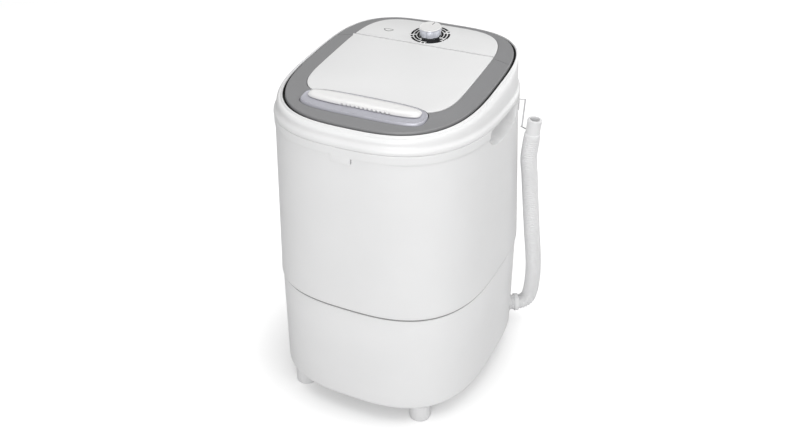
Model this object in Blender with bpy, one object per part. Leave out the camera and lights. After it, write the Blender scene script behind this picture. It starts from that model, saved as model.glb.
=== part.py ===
import bpy
import bmesh
from math import acos, asin, atan2, cos, hypot, pi, radians, sin, tau
from mathutils import Matrix, Vector

# Lengths are metres. The origin is on the floor under the middle of the body,
# the front faces -Y and +X is to the right seen from the front.

# General
WALL = 0.0025
CLEARANCE = 0.0003
RUNNING_GAP = 0.0004
OVERRUN = 0.004
PLAN_COUNT = 40
ROUND_COUNT = 18
SMALL_COUNT = 10
SCREW_COUNT = 6
TUBE_COUNT = 8
HANDLE_COUNT = 28
CUTTER_TURN_SHARE = 0.77

# Body plan, half sizes and corner powers
RIM_HALF_WIDTH = 0.182
RIM_HALF_DEPTH = 0.2055
RIM_POWER = 2.65
WALL_INSET = 0.003
WALL_POWER = 2.75
SKIRT_INSET = 0.002
FOOT_SIDE_SPREAD = 0.005
FOOT_END_SPREAD = 0.002
FOOT_POWER = 2.85
FOOT_REAR_POWER = 3.6
BASE_HALF_WIDTH = 0.183
BASE_HALF_DEPTH = 0.2035
BASE_POWER = 2.85
BASE_REAR_POWER = 3.6

# Heights of the body
BASE_BOTTOM = 0.0315
BASE_HEIGHT = 0.1935
BASE_EDGE = 0.008
BASE_LIP_HEIGHT = 0.0085
FLOOR_THICKNESS = 0.0025
CASING_HEIGHT = 0.2937
CASING_FOOT_ROUND = 0.0025
CASING_TAPER_HEIGHT = 0.025
RIM_BAND_HEIGHT = 0.0152
RIM_ROUND = 0.001
DECK_THICKNESS = 0.0025
EDGE_ROUND_STEPS = 2

# Opening of the base floor and its cover
ACCESS_HALF_WIDTH = 0.120
ACCESS_HALF_DEPTH = 0.135
ACCESS_POWER = 2.5
COVER_OVERLAP = 0.008
COVER_THICKNESS = 0.002

# Feet
FOOT_RADIUS = 0.0187
FOOT_EDGE = 0.0015
FOOT_X = 0.113
FOOT_Y = 0.157

# Collar
COLLAR_FLANGE_HEIGHT = 0.0105
COLLAR_SHOULDER_INSET = 0.0045
COLLAR_SHOULDER_POWER = 2.7
COLLAR_SHOULDER_STEPS = 3
COLLAR_LIP_WIDTH = 0.005
COLLAR_LIP_DROP = 0.003
COLLAR_LIP_CREST = 0.0025
COLLAR_SEAT_DROP = 0.004
COLLAR_FLANGE_WALL = 0.004
MOUTH_INSET = 0.0045
MOUTH_CENTRE_Y = -0.022
MOUTH_HINGE_GAP = 0.0044
MOUTH_REAR_POWER = 4.0
SKIRT_TURN_HEIGHT = 0.534
SKIRT_RING_HEIGHT = 0.5245
SKIRT_DIP = 0.0055
WELL_REAR_OFFSET = 0.057
WELL_HALF_WIDTH = 0.085
WELL_HALF_DEPTH = 0.036
WELL_POWER = 5.0

# Sloping top, whose frame is the outer edge of the lid surround
TOP_HEIGHT = 0.5629
TOP_TILT = radians(5.6)
SURROUND_SIDE_INSET = 0.0216
SURROUND_END_INSET = 0.0215
SURROUND_FRONT_POWER = 2.9
SURROUND_REAR_POWER = 3.56
SURROUND_GAP = 0.0008
SURROUND_EDGE = 0.0008
SURROUND_SKIRT = 0.0035
SURROUND_WALL = 0.0028
SURROUND_CREST = 0.0070
SURROUND_CREST_DROP = 0.0002
SURROUND_CREST_WIDTH = 0.0012
SURROUND_MIDDLE_OFFSET = 0.010
SURROUND_MIDDLE_HEIGHT = 0.0056
WINDOW_SIDE_INSET = 0.0304
WINDOW_FRONT_INSET = 0.060
WINDOW_REAR_INSET = 0.019
WINDOW_FRONT_POWER = 4.5
WINDOW_REAR_POWER = 3.8
WINDOW_GAP = 0.0004
WINDOW_TOP = 0.008
WINDOW_EDGE = 0.0009
WINDOW_SKIN = 0.0025
WINDOW_RIM = 0.003
LEDGE_WIDTH = 0.006
LEDGE_TOP = 0.003
LEDGE_BOTTOM = 0.0008

# Lid hinge
HINGE_REAR_OFFSET = 0.1026
HINGE_DEPTH = 0.0031
NOSE_RADIUS = 0.003
NOSE_COUNT = 24
NOSE_END_INSET = 0.0038
PIN_RADIUS = 0.0009
PIN_SINK = 0.0067
PIN_REACH = 0.0056
EAR_REACH = 0.0026
PLATE_FRONT_GAP = 0.0008
LID_BACK_GAP = 0.0004

# Lid handle
HANDLE_FRONT_OFFSET = 0.0505
HANDLE_END_INSET = 0.0253
HANDLE_HALF_WIDTH = 0.0263
HANDLE_POWER = 3.9
HANDLE_BOTTOM = 0.0010
HANDLE_RIM = 0.0078
HANDLE_SLOPE_SHARE = 0.05
HANDLE_EDGE = 0.0009
HANDLE_RIM_WIDTH = 0.0035
HANDLE_DISH_DEPTH = 0.0016
HANDLE_DISH_RUN = 0.008
GRIP_FRONT_OFFSET = 0.0560
GRIP_END_INSET = 0.0097
GRIP_HALF_WIDTH = 0.0141
GRIP_POWER = 4.2
GRIP_STEM_INSET = 0.015
GRIP_STEM_HALF_WIDTH = 0.005
GRIP_STEM_OFFSET = -0.002
GRIP_UNDERSIDE = 0.0080
GRIP_TOP = 0.0142
GRIP_ROUND = 0.0026
NOTCH_COUNT = 12
NOTCH_PITCH = 0.0072
NOTCH_SHIFT = 0.009
NOTCH_RADIUS = 0.0019

# Timer
TIMER_REAR_OFFSET = 0.0624
DIAL_RADIUS = 0.0344
DIAL_THICKNESS = 0.0005
DIAL_BORE = 0.0065
KNOB_SKIRT_RADIUS = 0.0172
KNOB_FLUTE = 0.0006
KNOB_FLUTES = 8
KNOB_CAP_RADIUS = 0.0189
KNOB_CAP_BOTTOM = 0.0222
KNOB_TOP = 0.0240
KNOB_EDGE = 0.0008
KNOB_MARK_WIDTH = 0.0017
KNOB_MARK_DEPTH = 0.0005
KNOB_MARK_INNER = 0.0065
KNOB_MARK_TURN = radians(-5)
TIMER_SHAFT_RADIUS = 0.003
TIMER_SHAFT_DEPTH = 0.017
TIMER_SHAFT_CAP = 0.005
TIMER_RADIUS = 0.020
TIMER_HEIGHT = 0.027

# Hand-grip pockets
POCKET_Y = 0.0145
POCKET_OUTER_HALF_WIDTH = 0.0775
POCKET_OUTER_DEPTH = 0.049
POCKET_INNER_HALF_WIDTH = 0.060
POCKET_INNER_DEPTH = 0.028
POCKET_OVERRUN = 0.008
POCKET_SINK = 0.025
POCKET_POWER = 2.2
POCKET_COUNT = 28

# Front tab under the rim band
TAB_LEFT = -0.018
TAB_RIGHT = 0.0155
TAB_DROP = 0.0105
TAB_INSET = 0.0002

# Tub
TUB_Y = -0.018
TUB_SIDE_ROOM = 0.0345
TUB_FRONT_ROOM = 0.040
TUB_FLOOR = 0.2405
TUB_FLOOR_THICKNESS = 0.003
TUB_CORNER = 0.025
TUB_CORNER_STEPS = 2
TUB_FLANGE_WIDTH = 0.0145
TUB_HUB_BORE = 0.015
TUB_MOUTH_GAP = 0.0015
TUB_COUNT = 36
TUB_SCREW_OFFSET = 0.009
DRAIN_ACROSS_SHARE = 0.5424
DRAIN_BACK_SHARE = 0.3593
DRAIN_RADIUS = 0.010
COVER_ANGLE_START = radians(24)
COVER_ANGLE_END = radians(60)
OVERFLOW_BOTTOM = 0.300
OVERFLOW_TOP = 0.455
OVERFLOW_SLOTS = 6
OVERFLOW_SLOT_HEIGHT = 0.006
OVERFLOW_STEPS = 6
OVERFLOW_WALL = 0.0025

# Pulsator and its bearings
PULSATOR_RADIUS = 0.072
PULSATOR_GAP = 0.0035
PULSATOR_DISC = 0.006
PULSATOR_HUB_RADIUS = 0.018
PULSATOR_HUB_HEIGHT = 0.018
PULSATOR_FIN_LENGTH = 0.122
PULSATOR_FIN_WIDTH = 0.007
PULSATOR_FIN_HEIGHT = 0.012
PULSATOR_FINS = 3
SHAFT_RADIUS = 0.005
SHAFT_BOTTOM = 0.150
SHAFT_TOP = 0.256
HOUSING_FLANGE_RADIUS = 0.045
HOUSING_FLANGE = 0.003
HOUSING_RADIUS = 0.020
HOUSING_BOTTOM = 0.186
BEARING_RADIUS = 0.0112
BEARING_HEIGHT = 0.007
LOWER_BEARING_BOTTOM = 0.188
UPPER_BEARING_BOTTOM = 0.2245
SEAL_HEIGHT = 0.0043
SEAL_BOTTOM = 0.2325

# Belt drive
PULLEY_BOTTOM = 0.160
PULLEY_HEIGHT = 0.014
BIG_PULLEY_RADIUS = 0.055
BIG_GROOVE_RADIUS = 0.0495
BIG_PULLEY_RIM = 0.009
SMALL_PULLEY_RADIUS = 0.020
SMALL_GROOVE_RADIUS = 0.0145
GROOVE_FLOOR_HEIGHT = 0.004
HUB_RADIUS = 0.012
WEB_THICKNESS = 0.006
BELT_THICKNESS = 0.004
BELT_HEIGHT = 0.003
BELT_LIFT = 0.0005
NUT_RADIUS = 0.007
NUT_HEIGHT = 0.005

# Motor
MOTOR_X = -0.045
MOTOR_Y = 0.070
MOTOR_RADIUS = 0.038
MOTOR_BOTTOM = 0.0628
MOTOR_HEIGHT = 0.077
MOTOR_EDGE = 0.004
MOTOR_NECK_RADIUS = 0.014
MOTOR_NECK_HEIGHT = 0.008
MOTOR_SHAFT_RADIUS = 0.004
MOTOR_SHAFT_DEPTH = 0.020
MOTOR_SHAFT_TOP = 0.182
BRACKET_HALF_WIDTH = 0.040
BRACKET_HALF_DEPTH = 0.034
BRACKET_THICKNESS = 0.0025
BOLT_CIRCLE = 0.030
BOLT_DEPTH = 0.010

# Capacitor
CAPACITOR_X = 0.070
CAPACITOR_Y = -0.070
CAPACITOR_RADIUS = 0.016
CAPACITOR_HEIGHT = 0.060
CAPACITOR_EDGE = 0.002
CLIP_BOTTOM = 0.045
CLIP_HEIGHT = 0.012
CLIP_THICKNESS = 0.002
CLIP_LEG_WIDTH = 0.010

# Fasteners
SCREW_RADIUS = 0.0018
SCREW_HEAD_RADIUS = 0.0036
SCREW_HEAD = 0.0022
SCREW_REACH = 0.007

# Power inlet and loom
GLAND_HEIGHT = 0.065
GLAND_FLANGE_RADIUS = 0.011
GLAND_FLANGE = 0.0022
GLAND_RADIUS = 0.0078
GLAND_NECK_RADIUS = 0.007
GLAND_OUTWARD = 0.0048
GLAND_INWARD = 0.010
GLAND_BORE = 0.0035
LOOM_RADIUS = 0.003
LOOM_HOLE_RADIUS = 0.006
LOOM_REAR_OFFSET = 0.0355
LOOM_BASE_OFFSET = 0.0305

# Drain outlet, hose, cuff and hook
OUTLET_TURN = radians(44)
OUTLET_HEIGHT = 0.049
OUTLET_FLANGE_RADIUS = 0.0155
OUTLET_FLANGE = 0.0023
OUTLET_RADIUS = 0.0110
OUTLET_BORE = 0.0080
OUTLET_INWARD = 0.035
OUTLET_SPIGOT_LENGTH = 0.018
PIPE_RADIUS = 0.011
PIPE_BORE = 0.009
HOSE_RADIUS = 0.0143
HOSE_ROOT_SHARE = 0.87
HOSE_BORE = 0.0104
HOSE_RIB_PITCH = 0.0039
HOSE_STANDOFF = 0.0029
HOSE_BORE_STEP = 0.021
SPIGOT_GAP = 0.0010
CLAMP_GAP = 0.0004
CLAMP_THICKNESS = 0.002
CLAMP_WIDTH = 0.007
CLAMP_OFFSET = 0.008
CUFF_RADIUS = 0.0128
CUFF_TOP_RADIUS = 0.0120
CUFF_BORE = 0.0092
CUFF_LENGTH = 0.036
CUFF_SPIGOT = 0.012
HOOK_TURN = radians(32.75)
HOOK_STANDOFF = 0.0018
HOOK_HALF_WIDTH = 0.005
HOOK_THICKNESS = 0.002
HOOK_TOP = 0.499
HOOK_PLATE_BOTTOM = 0.482
HOOK_PLATE_OFFSET = 0.0012
HOOK_REACH = 0.0160
HOOK_FOOT_BOTTOM = 0.447
HOOK_FOOT_START = 0.0095
HOOK_FOOT_REACH = 0.0143
CUFF_FROM_HOOK = (0.0237, 0.0097)

# Route of the hose, from the outlet to its cuff
HOSE_ROUTE = (
    (0.1632, 0.1566, 0.0490),
    (0.1768, 0.1651, 0.0490),
    (0.1862, 0.1709, 0.0520),
    (0.1932, 0.1752, 0.0605),
    (0.1962, 0.1765, 0.0730),
    (0.2005, 0.1690, 0.1000),
    (0.2045, 0.1545, 0.1500),
    (0.1999, 0.1370, 0.2450),
    (0.1915, 0.1265, 0.3530),
    (0.1902, 0.1175, 0.4026),
    (0.1925, 0.1175, 0.4305),
)

# Derived plan sizes
SURROUND_HALF_WIDTH = RIM_HALF_WIDTH - SURROUND_SIDE_INSET
SURROUND_HALF_DEPTH = RIM_HALF_DEPTH - SURROUND_END_INSET
WINDOW_HALF_WIDTH = SURROUND_HALF_WIDTH - WINDOW_SIDE_INSET
WINDOW_FRONT_DEPTH = SURROUND_HALF_DEPTH - WINDOW_FRONT_INSET
WINDOW_REAR_DEPTH = SURROUND_HALF_DEPTH - WINDOW_REAR_INSET
HINGE_Y = SURROUND_HALF_DEPTH - HINGE_REAR_OFFSET
TIMER_Y = SURROUND_HALF_DEPTH - TIMER_REAR_OFFSET
WELL_CENTRE_Y = SURROUND_HALF_DEPTH - WELL_REAR_OFFSET
HANDLE_Y = HANDLE_FRONT_OFFSET - SURROUND_HALF_DEPTH
GRIP_Y = GRIP_FRONT_OFFSET - SURROUND_HALF_DEPTH
NOSE_HALF_LENGTH = WINDOW_HALF_WIDTH - NOSE_END_INSET
PIN_INNER_X = NOSE_HALF_LENGTH - PIN_SINK
PIN_OUTER_X = NOSE_HALF_LENGTH + PIN_REACH
HANDLE_HALF_LENGTH = WINDOW_HALF_WIDTH - HANDLE_END_INSET
GRIP_HALF_LENGTH = HANDLE_HALF_LENGTH - GRIP_END_INSET
GRIP_STEM_HALF_LENGTH = GRIP_HALF_LENGTH - GRIP_STEM_INSET
TUB_RADIUS = min(RIM_HALF_WIDTH - TUB_SIDE_ROOM, RIM_HALF_DEPTH + TUB_Y - TUB_FRONT_ROOM)
TUB_FLANGE_RADIUS = TUB_RADIUS + TUB_FLANGE_WIDTH
TUB_SCREW_RADIUS = TUB_RADIUS + TUB_SCREW_OFFSET
MOUTH_HALF_WIDTH = TUB_RADIUS - MOUTH_INSET
MOUTH_FRONT_DEPTH = MOUTH_HALF_WIDTH
MOUTH_REAR_DEPTH = HINGE_Y - MOUTH_HINGE_GAP - MOUTH_CENTRE_Y
DRAIN_X = TUB_RADIUS * DRAIN_ACROSS_SHARE
DRAIN_Y = TUB_Y + TUB_RADIUS * DRAIN_BACK_SHARE
POCKET_OUTER_X = RIM_HALF_WIDTH + POCKET_OVERRUN
POCKET_INNER_X = RIM_HALF_WIDTH - POCKET_SINK
LOOM_Y = RIM_HALF_DEPTH - LOOM_REAR_OFFSET
LOOM_BASE_Y = min(LOOM_Y, BASE_HALF_DEPTH - LOOM_BASE_OFFSET)

# Derived heights
BASE_SHOULDER = BASE_BOTTOM + BASE_HEIGHT
CASING_BOTTOM = BASE_SHOULDER + CLEARANCE
CASING_TOP = CASING_BOTTOM + CASING_HEIGHT
COLLAR_BOTTOM = CASING_TOP + CLEARANCE
FLANGE_TOP = COLLAR_BOTTOM + COLLAR_FLANGE_HEIGHT
FLOOR_TOP = BASE_BOTTOM + FLOOR_THICKNESS
COVER_TOP = BASE_BOTTOM - CLEARANCE
TUB_BOTTOM = TUB_FLOOR - TUB_FLOOR_THICKNESS
TUB_FLANGE_BOTTOM = CASING_TOP + CLEARANCE
TUB_TOP = TUB_FLANGE_BOTTOM + WALL
PULSATOR_BOTTOM = TUB_FLOOR + PULSATOR_GAP
PULLEY_TOP = PULLEY_BOTTOM + PULLEY_HEIGHT
PULLEY_MIDDLE = PULLEY_BOTTOM + PULLEY_HEIGHT / 2
HINGE_HEIGHT = WINDOW_TOP - HINGE_DEPTH
DIAL_BOTTOM = WINDOW_TOP + CLEARANCE
DIAL_TOP = DIAL_BOTTOM + DIAL_THICKNESS

COLOURS = {
    "body": ((0.80, 0.80, 0.80), 0.35, 0.0),
    "gray": ((0.27, 0.27, 0.285), 0.4, 0.0),
    "white": ((0.78, 0.78, 0.77), 0.3, 0.0),
    "silver": ((0.52, 0.52, 0.60), 0.3, 0.3),
    "pearl": ((0.75, 0.74, 0.75), 0.25, 0.0),
    "black": ((0.02, 0.02, 0.022), 0.4, 0.0),
    "rubber": ((0.55, 0.55, 0.55), 0.7, 0.0),
    "hose": ((0.70, 0.70, 0.71), 0.5, 0.0),
    "steel": ((0.55, 0.55, 0.56), 0.35, 1.0),
    "motor": ((0.30, 0.31, 0.33), 0.5, 0.6),
    "dark": ((0.05, 0.05, 0.055), 0.6, 0.0),
    "hook": ((0.74, 0.74, 0.745), 0.4, 0.0),
}

for old in list(bpy.data.objects):
    bpy.data.objects.remove(old)

parts = bpy.data.collections.new("mini_washing_machine")
cutters = bpy.data.collections.new("cutters")
bpy.context.scene.collection.children.link(parts)
bpy.context.scene.collection.children.link(cutters)
cutters.hide_render = True


def paint(piece, look):
    colour, roughness, metallic = COLOURS[look]
    material = bpy.data.materials.new(piece.name)
    material.use_nodes = True
    shader = material.node_tree.nodes["Principled BSDF"]
    shader.inputs["Base Color"].default_value = (*colour, 1.0)
    shader.inputs["Roughness"].default_value = roughness
    shader.inputs["Metallic"].default_value = metallic
    material.diffuse_color = (*colour, 1.0)
    piece.data.materials.clear()
    piece.data.materials.append(material)


def add_object(name, mesh, look, parent=None, place=Matrix.Identity(4)):
    piece = bpy.data.objects.new(name, mesh)
    if look is None:
        cutters.objects.link(piece)
        piece.hide_render = True
        piece.display_type = "WIRE"
    else:
        parts.objects.link(piece)
        paint(piece, look)
    piece.parent = parent
    piece.matrix_local = place
    return piece


def add_empty(name, place, parent=None):
    empty = bpy.data.objects.new(name, None)
    parts.objects.link(empty)
    empty.parent = parent
    empty.matrix_local = place
    return empty


def smooth(mesh):
    mesh.shade_smooth()
    mesh.set_sharp_from_angle(angle=radians(32))


def loft(name, rings, look, parent=None, closed=False, place=Matrix.Identity(4)):
    shape = bmesh.new()
    loops = [[shape.verts.new(point) for point in ring] for ring in rings]
    pairs = list(zip(loops, loops[1:]))
    if closed:
        pairs.append((loops[-1], loops[0]))
    count = len(rings[0])
    for low, high in pairs:
        for index in range(count):
            after = (index + 1) % count
            shape.faces.new((low[index], low[after], high[after], high[index]))
    if not closed:
        shape.faces.new(reversed(loops[0]))
        shape.faces.new(loops[-1])
    bmesh.ops.recalc_face_normals(shape, faces=shape.faces)
    mesh = bpy.data.meshes.new(name)
    shape.to_mesh(mesh)
    shape.free()
    smooth(mesh)
    return add_object(name, mesh, look, parent, place)


def turned(name, profile, look, parent=None, place=Matrix.Identity(4), count=ROUND_COUNT, closed=False):
    angles = [tau * index / count for index in range(count)]
    shape = bmesh.new()
    loops = []
    for radius, height in profile:
        if radius == 0:
            loops.append([shape.verts.new((0, 0, height))])
        else:
            loops.append([shape.verts.new((radius * cos(a), radius * sin(a), height)) for a in angles])
    pairs = list(zip(loops, loops[1:]))
    if closed:
        pairs.append((loops[-1], loops[0]))
    for low, high in pairs:
        for index in range(count):
            after = (index + 1) % count
            corners = []
            for vert in (low[index % len(low)], low[after % len(low)], high[after % len(high)], high[index % len(high)]):
                if vert not in corners:
                    corners.append(vert)
            shape.faces.new(corners)
    bmesh.ops.recalc_face_normals(shape, faces=shape.faces)
    mesh = bpy.data.meshes.new(name)
    shape.to_mesh(mesh)
    shape.free()
    smooth(mesh)
    return add_object(name, mesh, look, parent, place)


def block(name, low, high, look=None, parent=None, place=Matrix.Identity(4)):
    shape = bmesh.new()
    bmesh.ops.create_cube(shape, size=1)
    for vert in shape.verts:
        vert.co = Vector([a + (b - a) * (c + 0.5) for a, b, c in zip(low, high, vert.co)])
    mesh = bpy.data.meshes.new(name)
    shape.to_mesh(mesh)
    shape.free()
    return add_object(name, mesh, look, parent, place)


def cylinder(name, radius, low, high, parent=None, place=Matrix.Identity(4), count=ROUND_COUNT):
    corner = radius / cos(pi / count)
    profile = ((0, high), (corner, high), (corner, low), (0, low))
    return turned(name, profile, None, parent, place @ Matrix.Rotation(CUTTER_TURN_SHARE * pi / count, 4, "Z"), count)


def apply_boolean(piece, other, operation="DIFFERENCE"):
    modifier = piece.modifiers.new(other.name, "BOOLEAN")
    modifier.object = other
    modifier.operation = operation
    modifier.solver = "EXACT"


def outline(half_width, front_depth, rear_depth, front_power, rear_power, count=PLAN_COUNT, centre_y=0):
    points = []
    for index in range(count):
        angle = tau * index / count
        across, along = cos(angle), sin(angle)
        power = rear_power if along > 0 else front_power
        depth = rear_depth if along > 0 else front_depth
        reach = (abs(across / half_width) ** power + abs(along / depth) ** power) ** (-1 / power)
        points.append((reach * across, centre_y + reach * along))
    return points


def even(half_width, half_depth, power, inset=0, count=PLAN_COUNT, centre_y=0):
    width, depth = half_width - inset, half_depth - inset
    return outline(width, depth, depth, power, power, count, centre_y)


def wall_point(half_width, half_depth, power, turn):
    across, along = cos(turn), sin(turn)
    reach = (abs(across / half_width) ** power + abs(along / half_depth) ** power) ** (-1 / power)
    x, y = reach * across, reach * along
    slope_x = (x / half_width) ** (power - 1) / half_width
    slope_y = (y / half_depth) ** (power - 1) / half_depth
    return Vector((x, y, 0)), Vector((slope_x, slope_y, 0)).normalized()


def level(points, height):
    return [(x, y, height) for x, y in points]


def slanted_height(y, lift):
    return TOP_HEIGHT + (y * sin(TOP_TILT) + lift) / cos(TOP_TILT)


def slanted(points, lift):
    return [(x, y, slanted_height(y, lift)) for x, y in points]


def blend(first, second, plan_share, rise_share):
    mixed = []
    for (x0, y0, z0), (x1, y1, z1) in zip(first, second):
        mixed.append((
            x0 + (x1 - x0) * plan_share,
            y0 + (y1 - y0) * plan_share,
            z0 + (z1 - z0) * rise_share,
        ))
    return mixed


def place_at(x, y, z=0, turn=0):
    return Matrix.Translation((x, y, z)) @ Matrix.Rotation(turn, 4, "Z")


def along_direction(x, y, z, heading):
    return Matrix.Translation((x, y, z)) @ heading.to_track_quat("Z", "Y").to_matrix().to_4x4()


def screw(name, head_height, direction, x, y, parent=None, reach=SCREW_REACH, look="steel"):
    tip = head_height + direction * reach
    top = head_height - direction * SCREW_HEAD
    profile = (
        (0, top),
        (SCREW_HEAD_RADIUS, top),
        (SCREW_HEAD_RADIUS, head_height),
        (SCREW_RADIUS, head_height),
        (SCREW_RADIUS, tip),
        (0, tip),
    )
    return turned(name, profile, look, parent, place_at(x, y), SCREW_COUNT)


def route_samples(route, step):
    points = [Vector(point) for point in route]
    heads = [(b - a).normalized() for a, b in zip(points, points[1:])]
    ways = [heads[0], heads[0]]
    ways += [(a + b).normalized() for a, b in zip(heads[1:-2], heads[2:-1])]
    ways += [heads[-1], heads[-1]]
    dense = [points[0]]
    pieces = 24
    for index, (start, end) in enumerate(zip(points, points[1:])):
        span = (end - start).length
        straight = index in (0, len(points) - 2)
        for count in range(1, pieces + 1):
            t = count / pieces
            if straight:
                dense.append(start.lerp(end, t))
                continue
            dense.append(
                start * (2 * t**3 - 3 * t**2 + 1)
                + ways[index] * span * (t**3 - 2 * t**2 + t)
                + end * (3 * t**2 - 2 * t**3)
                + ways[index + 1] * span * (t**3 - t**2)
            )
    lengths = [0.0]
    for a, b in zip(dense, dense[1:]):
        lengths.append(lengths[-1] + (b - a).length)
    count = max(2, round(lengths[-1] / step))
    samples = []
    index = 0
    for number in range(count + 1):
        target = lengths[-1] * number / count
        while index < len(dense) - 2 and lengths[index + 1] < target:
            index += 1
        span = lengths[index + 1] - lengths[index]
        samples.append(dense[index].lerp(dense[index + 1], (target - lengths[index]) / span))
    return samples


def tube_mesh(name, points, radius, shares=None, resolution=2):
    curve = bpy.data.curves.new(name, "CURVE")
    curve.dimensions = "3D"
    curve.bevel_depth = radius
    curve.bevel_resolution = resolution
    curve.use_fill_caps = True
    spline = curve.splines.new("POLY")
    spline.points.add(len(points) - 1)
    for index, point in enumerate(points):
        spline.points[index].co = (*point, 1)
        spline.points[index].radius = shares[index] if shares else 1
    holder = bpy.data.objects.new(name, curve)
    bpy.context.scene.collection.objects.link(holder)
    bpy.context.view_layer.update()
    graph = bpy.context.evaluated_depsgraph_get()
    mesh = bpy.data.meshes.new_from_object(holder.evaluated_get(graph))
    bpy.data.objects.remove(holder)
    bpy.data.curves.remove(curve)
    shape = bmesh.new()
    shape.from_mesh(mesh)
    bmesh.ops.remove_doubles(shape, verts=shape.verts, dist=1e-6)
    bmesh.ops.recalc_face_normals(shape, faces=shape.faces)
    shape.to_mesh(mesh)
    shape.free()
    smooth(mesh)
    return mesh


def corner_arc(radius, steps):
    return [
        (radius * (1 - sin(pi / 2 * index / steps)), radius * (1 - cos(pi / 2 * index / steps)))
        for index in range(steps + 1)
    ]


# Base moulding
void_half_width = RIM_HALF_WIDTH - SKIRT_INSET - CASING_FOOT_ROUND - RIM_ROUND
void_half_depth = RIM_HALF_DEPTH - SKIRT_INSET - CASING_FOOT_ROUND - RIM_ROUND
foot_void_inset = SKIRT_INSET + CASING_FOOT_ROUND + RIM_ROUND


def foot_plan(inset):
    # plan of the casing's foot, where the wall stands furthest out
    width, depth = RIM_HALF_WIDTH + FOOT_SIDE_SPREAD - inset, RIM_HALF_DEPTH + FOOT_END_SPREAD - inset
    return outline(width, depth, depth, FOOT_POWER, FOOT_REAR_POWER)


def base_plan(inset=0):
    width, depth = BASE_HALF_WIDTH - inset, BASE_HALF_DEPTH - inset
    return outline(width, depth, depth, BASE_POWER, BASE_REAR_POWER)


lip_inset = BASE_HALF_WIDTH - (RIM_HALF_WIDTH + FOOT_SIDE_SPREAD - foot_void_inset - CLEARANCE)
lip_outer = foot_plan(foot_void_inset + CLEARANCE)
lip_inner = foot_plan(foot_void_inset + CLEARANCE + WALL)
base_rings = [
    level(base_plan(inset), BASE_BOTTOM + rise)
    for inset, rise in corner_arc(BASE_EDGE, EDGE_ROUND_STEPS)
]
base_rings += [
    level(base_plan(), BASE_SHOULDER),
    level(lip_outer, BASE_SHOULDER),
    level(lip_outer, BASE_SHOULDER + BASE_LIP_HEIGHT),
    level(lip_inner, BASE_SHOULDER + BASE_LIP_HEIGHT),
    level(lip_inner, BASE_SHOULDER - WALL),
    level(base_plan(WALL), BASE_SHOULDER - WALL - lip_inset),
    level(base_plan(WALL), BASE_BOTTOM + BASE_EDGE),
    level(base_plan(BASE_EDGE), FLOOR_TOP),
    level(even(ACCESS_HALF_WIDTH, ACCESS_HALF_DEPTH, ACCESS_POWER), FLOOR_TOP),
    level(even(ACCESS_HALF_WIDTH, ACCESS_HALF_DEPTH, ACCESS_POWER), BASE_BOTTOM),
]
lower_casing = loft("lower_casing", base_rings, "body", closed=True)

outlet_point, outward = wall_point(BASE_HALF_WIDTH, BASE_HALF_DEPTH, BASE_REAR_POWER, OUTLET_TURN)
outlet_point.z = OUTLET_HEIGHT
outlet_place = along_direction(*outlet_point, outward)
outlet_hole = cylinder("outlet_hole", OUTLET_RADIUS + CLEARANCE, -BASE_EDGE - OVERRUN, OVERRUN, place=outlet_place)
apply_boolean(lower_casing, outlet_hole)
gland_place = along_direction(0, BASE_HALF_DEPTH, GLAND_HEIGHT, Vector((0, 1, 0)))
gland_hole = cylinder("gland_hole", GLAND_RADIUS + CLEARANCE, -BASE_EDGE, OVERRUN, place=gland_place, count=SMALL_COUNT)
apply_boolean(lower_casing, gland_hole)

cover_outline = even(ACCESS_HALF_WIDTH, ACCESS_HALF_DEPTH, ACCESS_POWER, -COVER_OVERLAP)
bottom_plate = loft(
    "bottom_plate", [level(cover_outline, COVER_TOP - COVER_THICKNESS), level(cover_outline, COVER_TOP)], "steel"
)
screw_reach_x = ACCESS_HALF_WIDTH + COVER_OVERLAP / 2
screw_reach_y = ACCESS_HALF_DEPTH + COVER_OVERLAP / 2
cover_places = ((screw_reach_x, 0), (0, screw_reach_y), (-screw_reach_x, 0), (0, -screw_reach_y))
for number, (x, y) in enumerate(cover_places, 1):
    hole = cylinder(
        "bottom_hole_%d" % number,
        SCREW_RADIUS + CLEARANCE,
        COVER_TOP - COVER_THICKNESS - OVERRUN,
        FLOOR_TOP + OVERRUN,
        place=place_at(x, y),
        count=SCREW_COUNT,
    )
    apply_boolean(bottom_plate, hole)
    apply_boolean(lower_casing, hole)
    screw("bottom_screw_%d" % number, COVER_TOP - COVER_THICKNESS - CLEARANCE, 1, x, y)

foot_top = BASE_BOTTOM - CLEARANCE
foot_profile = (
    (0, foot_top),
    (FOOT_RADIUS - FOOT_EDGE, foot_top),
    (FOOT_RADIUS, foot_top - FOOT_EDGE),
    (FOOT_RADIUS, FOOT_EDGE),
    (FOOT_RADIUS - FOOT_EDGE, 0),
    (0, 0),
)
for side, x in (("left", -FOOT_X), ("right", FOOT_X)):
    for end, y in (("front", -FOOT_Y), ("rear", FOOT_Y)):
        turned("foot_%s_%s" % (end, side), foot_profile, "rubber", place=place_at(x, y))


# Main body wall
wall_outline = even(RIM_HALF_WIDTH, RIM_HALF_DEPTH, WALL_POWER, WALL_INSET)
rim_outline = even(RIM_HALF_WIDTH, RIM_HALF_DEPTH, RIM_POWER)
rim_edge_outline = even(RIM_HALF_WIDTH, RIM_HALF_DEPTH, RIM_POWER, RIM_ROUND)
band_bottom = CASING_TOP - RIM_BAND_HEIGHT
casing_rings = [
    level(foot_plan(SKIRT_INSET + RIM_ROUND), CASING_BOTTOM),
    level(foot_plan(SKIRT_INSET), CASING_BOTTOM + CASING_FOOT_ROUND),
    level(foot_plan(WALL_INSET), CASING_BOTTOM + CASING_TAPER_HEIGHT),
    level(wall_outline, band_bottom - RIM_ROUND),
    level(rim_edge_outline, band_bottom),
    level(rim_outline, band_bottom + RIM_ROUND),
    level(rim_outline, CASING_TOP - RIM_ROUND),
    level(rim_edge_outline, CASING_TOP),
]
upper_casing = loft("upper_casing", casing_rings, "body")

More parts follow.
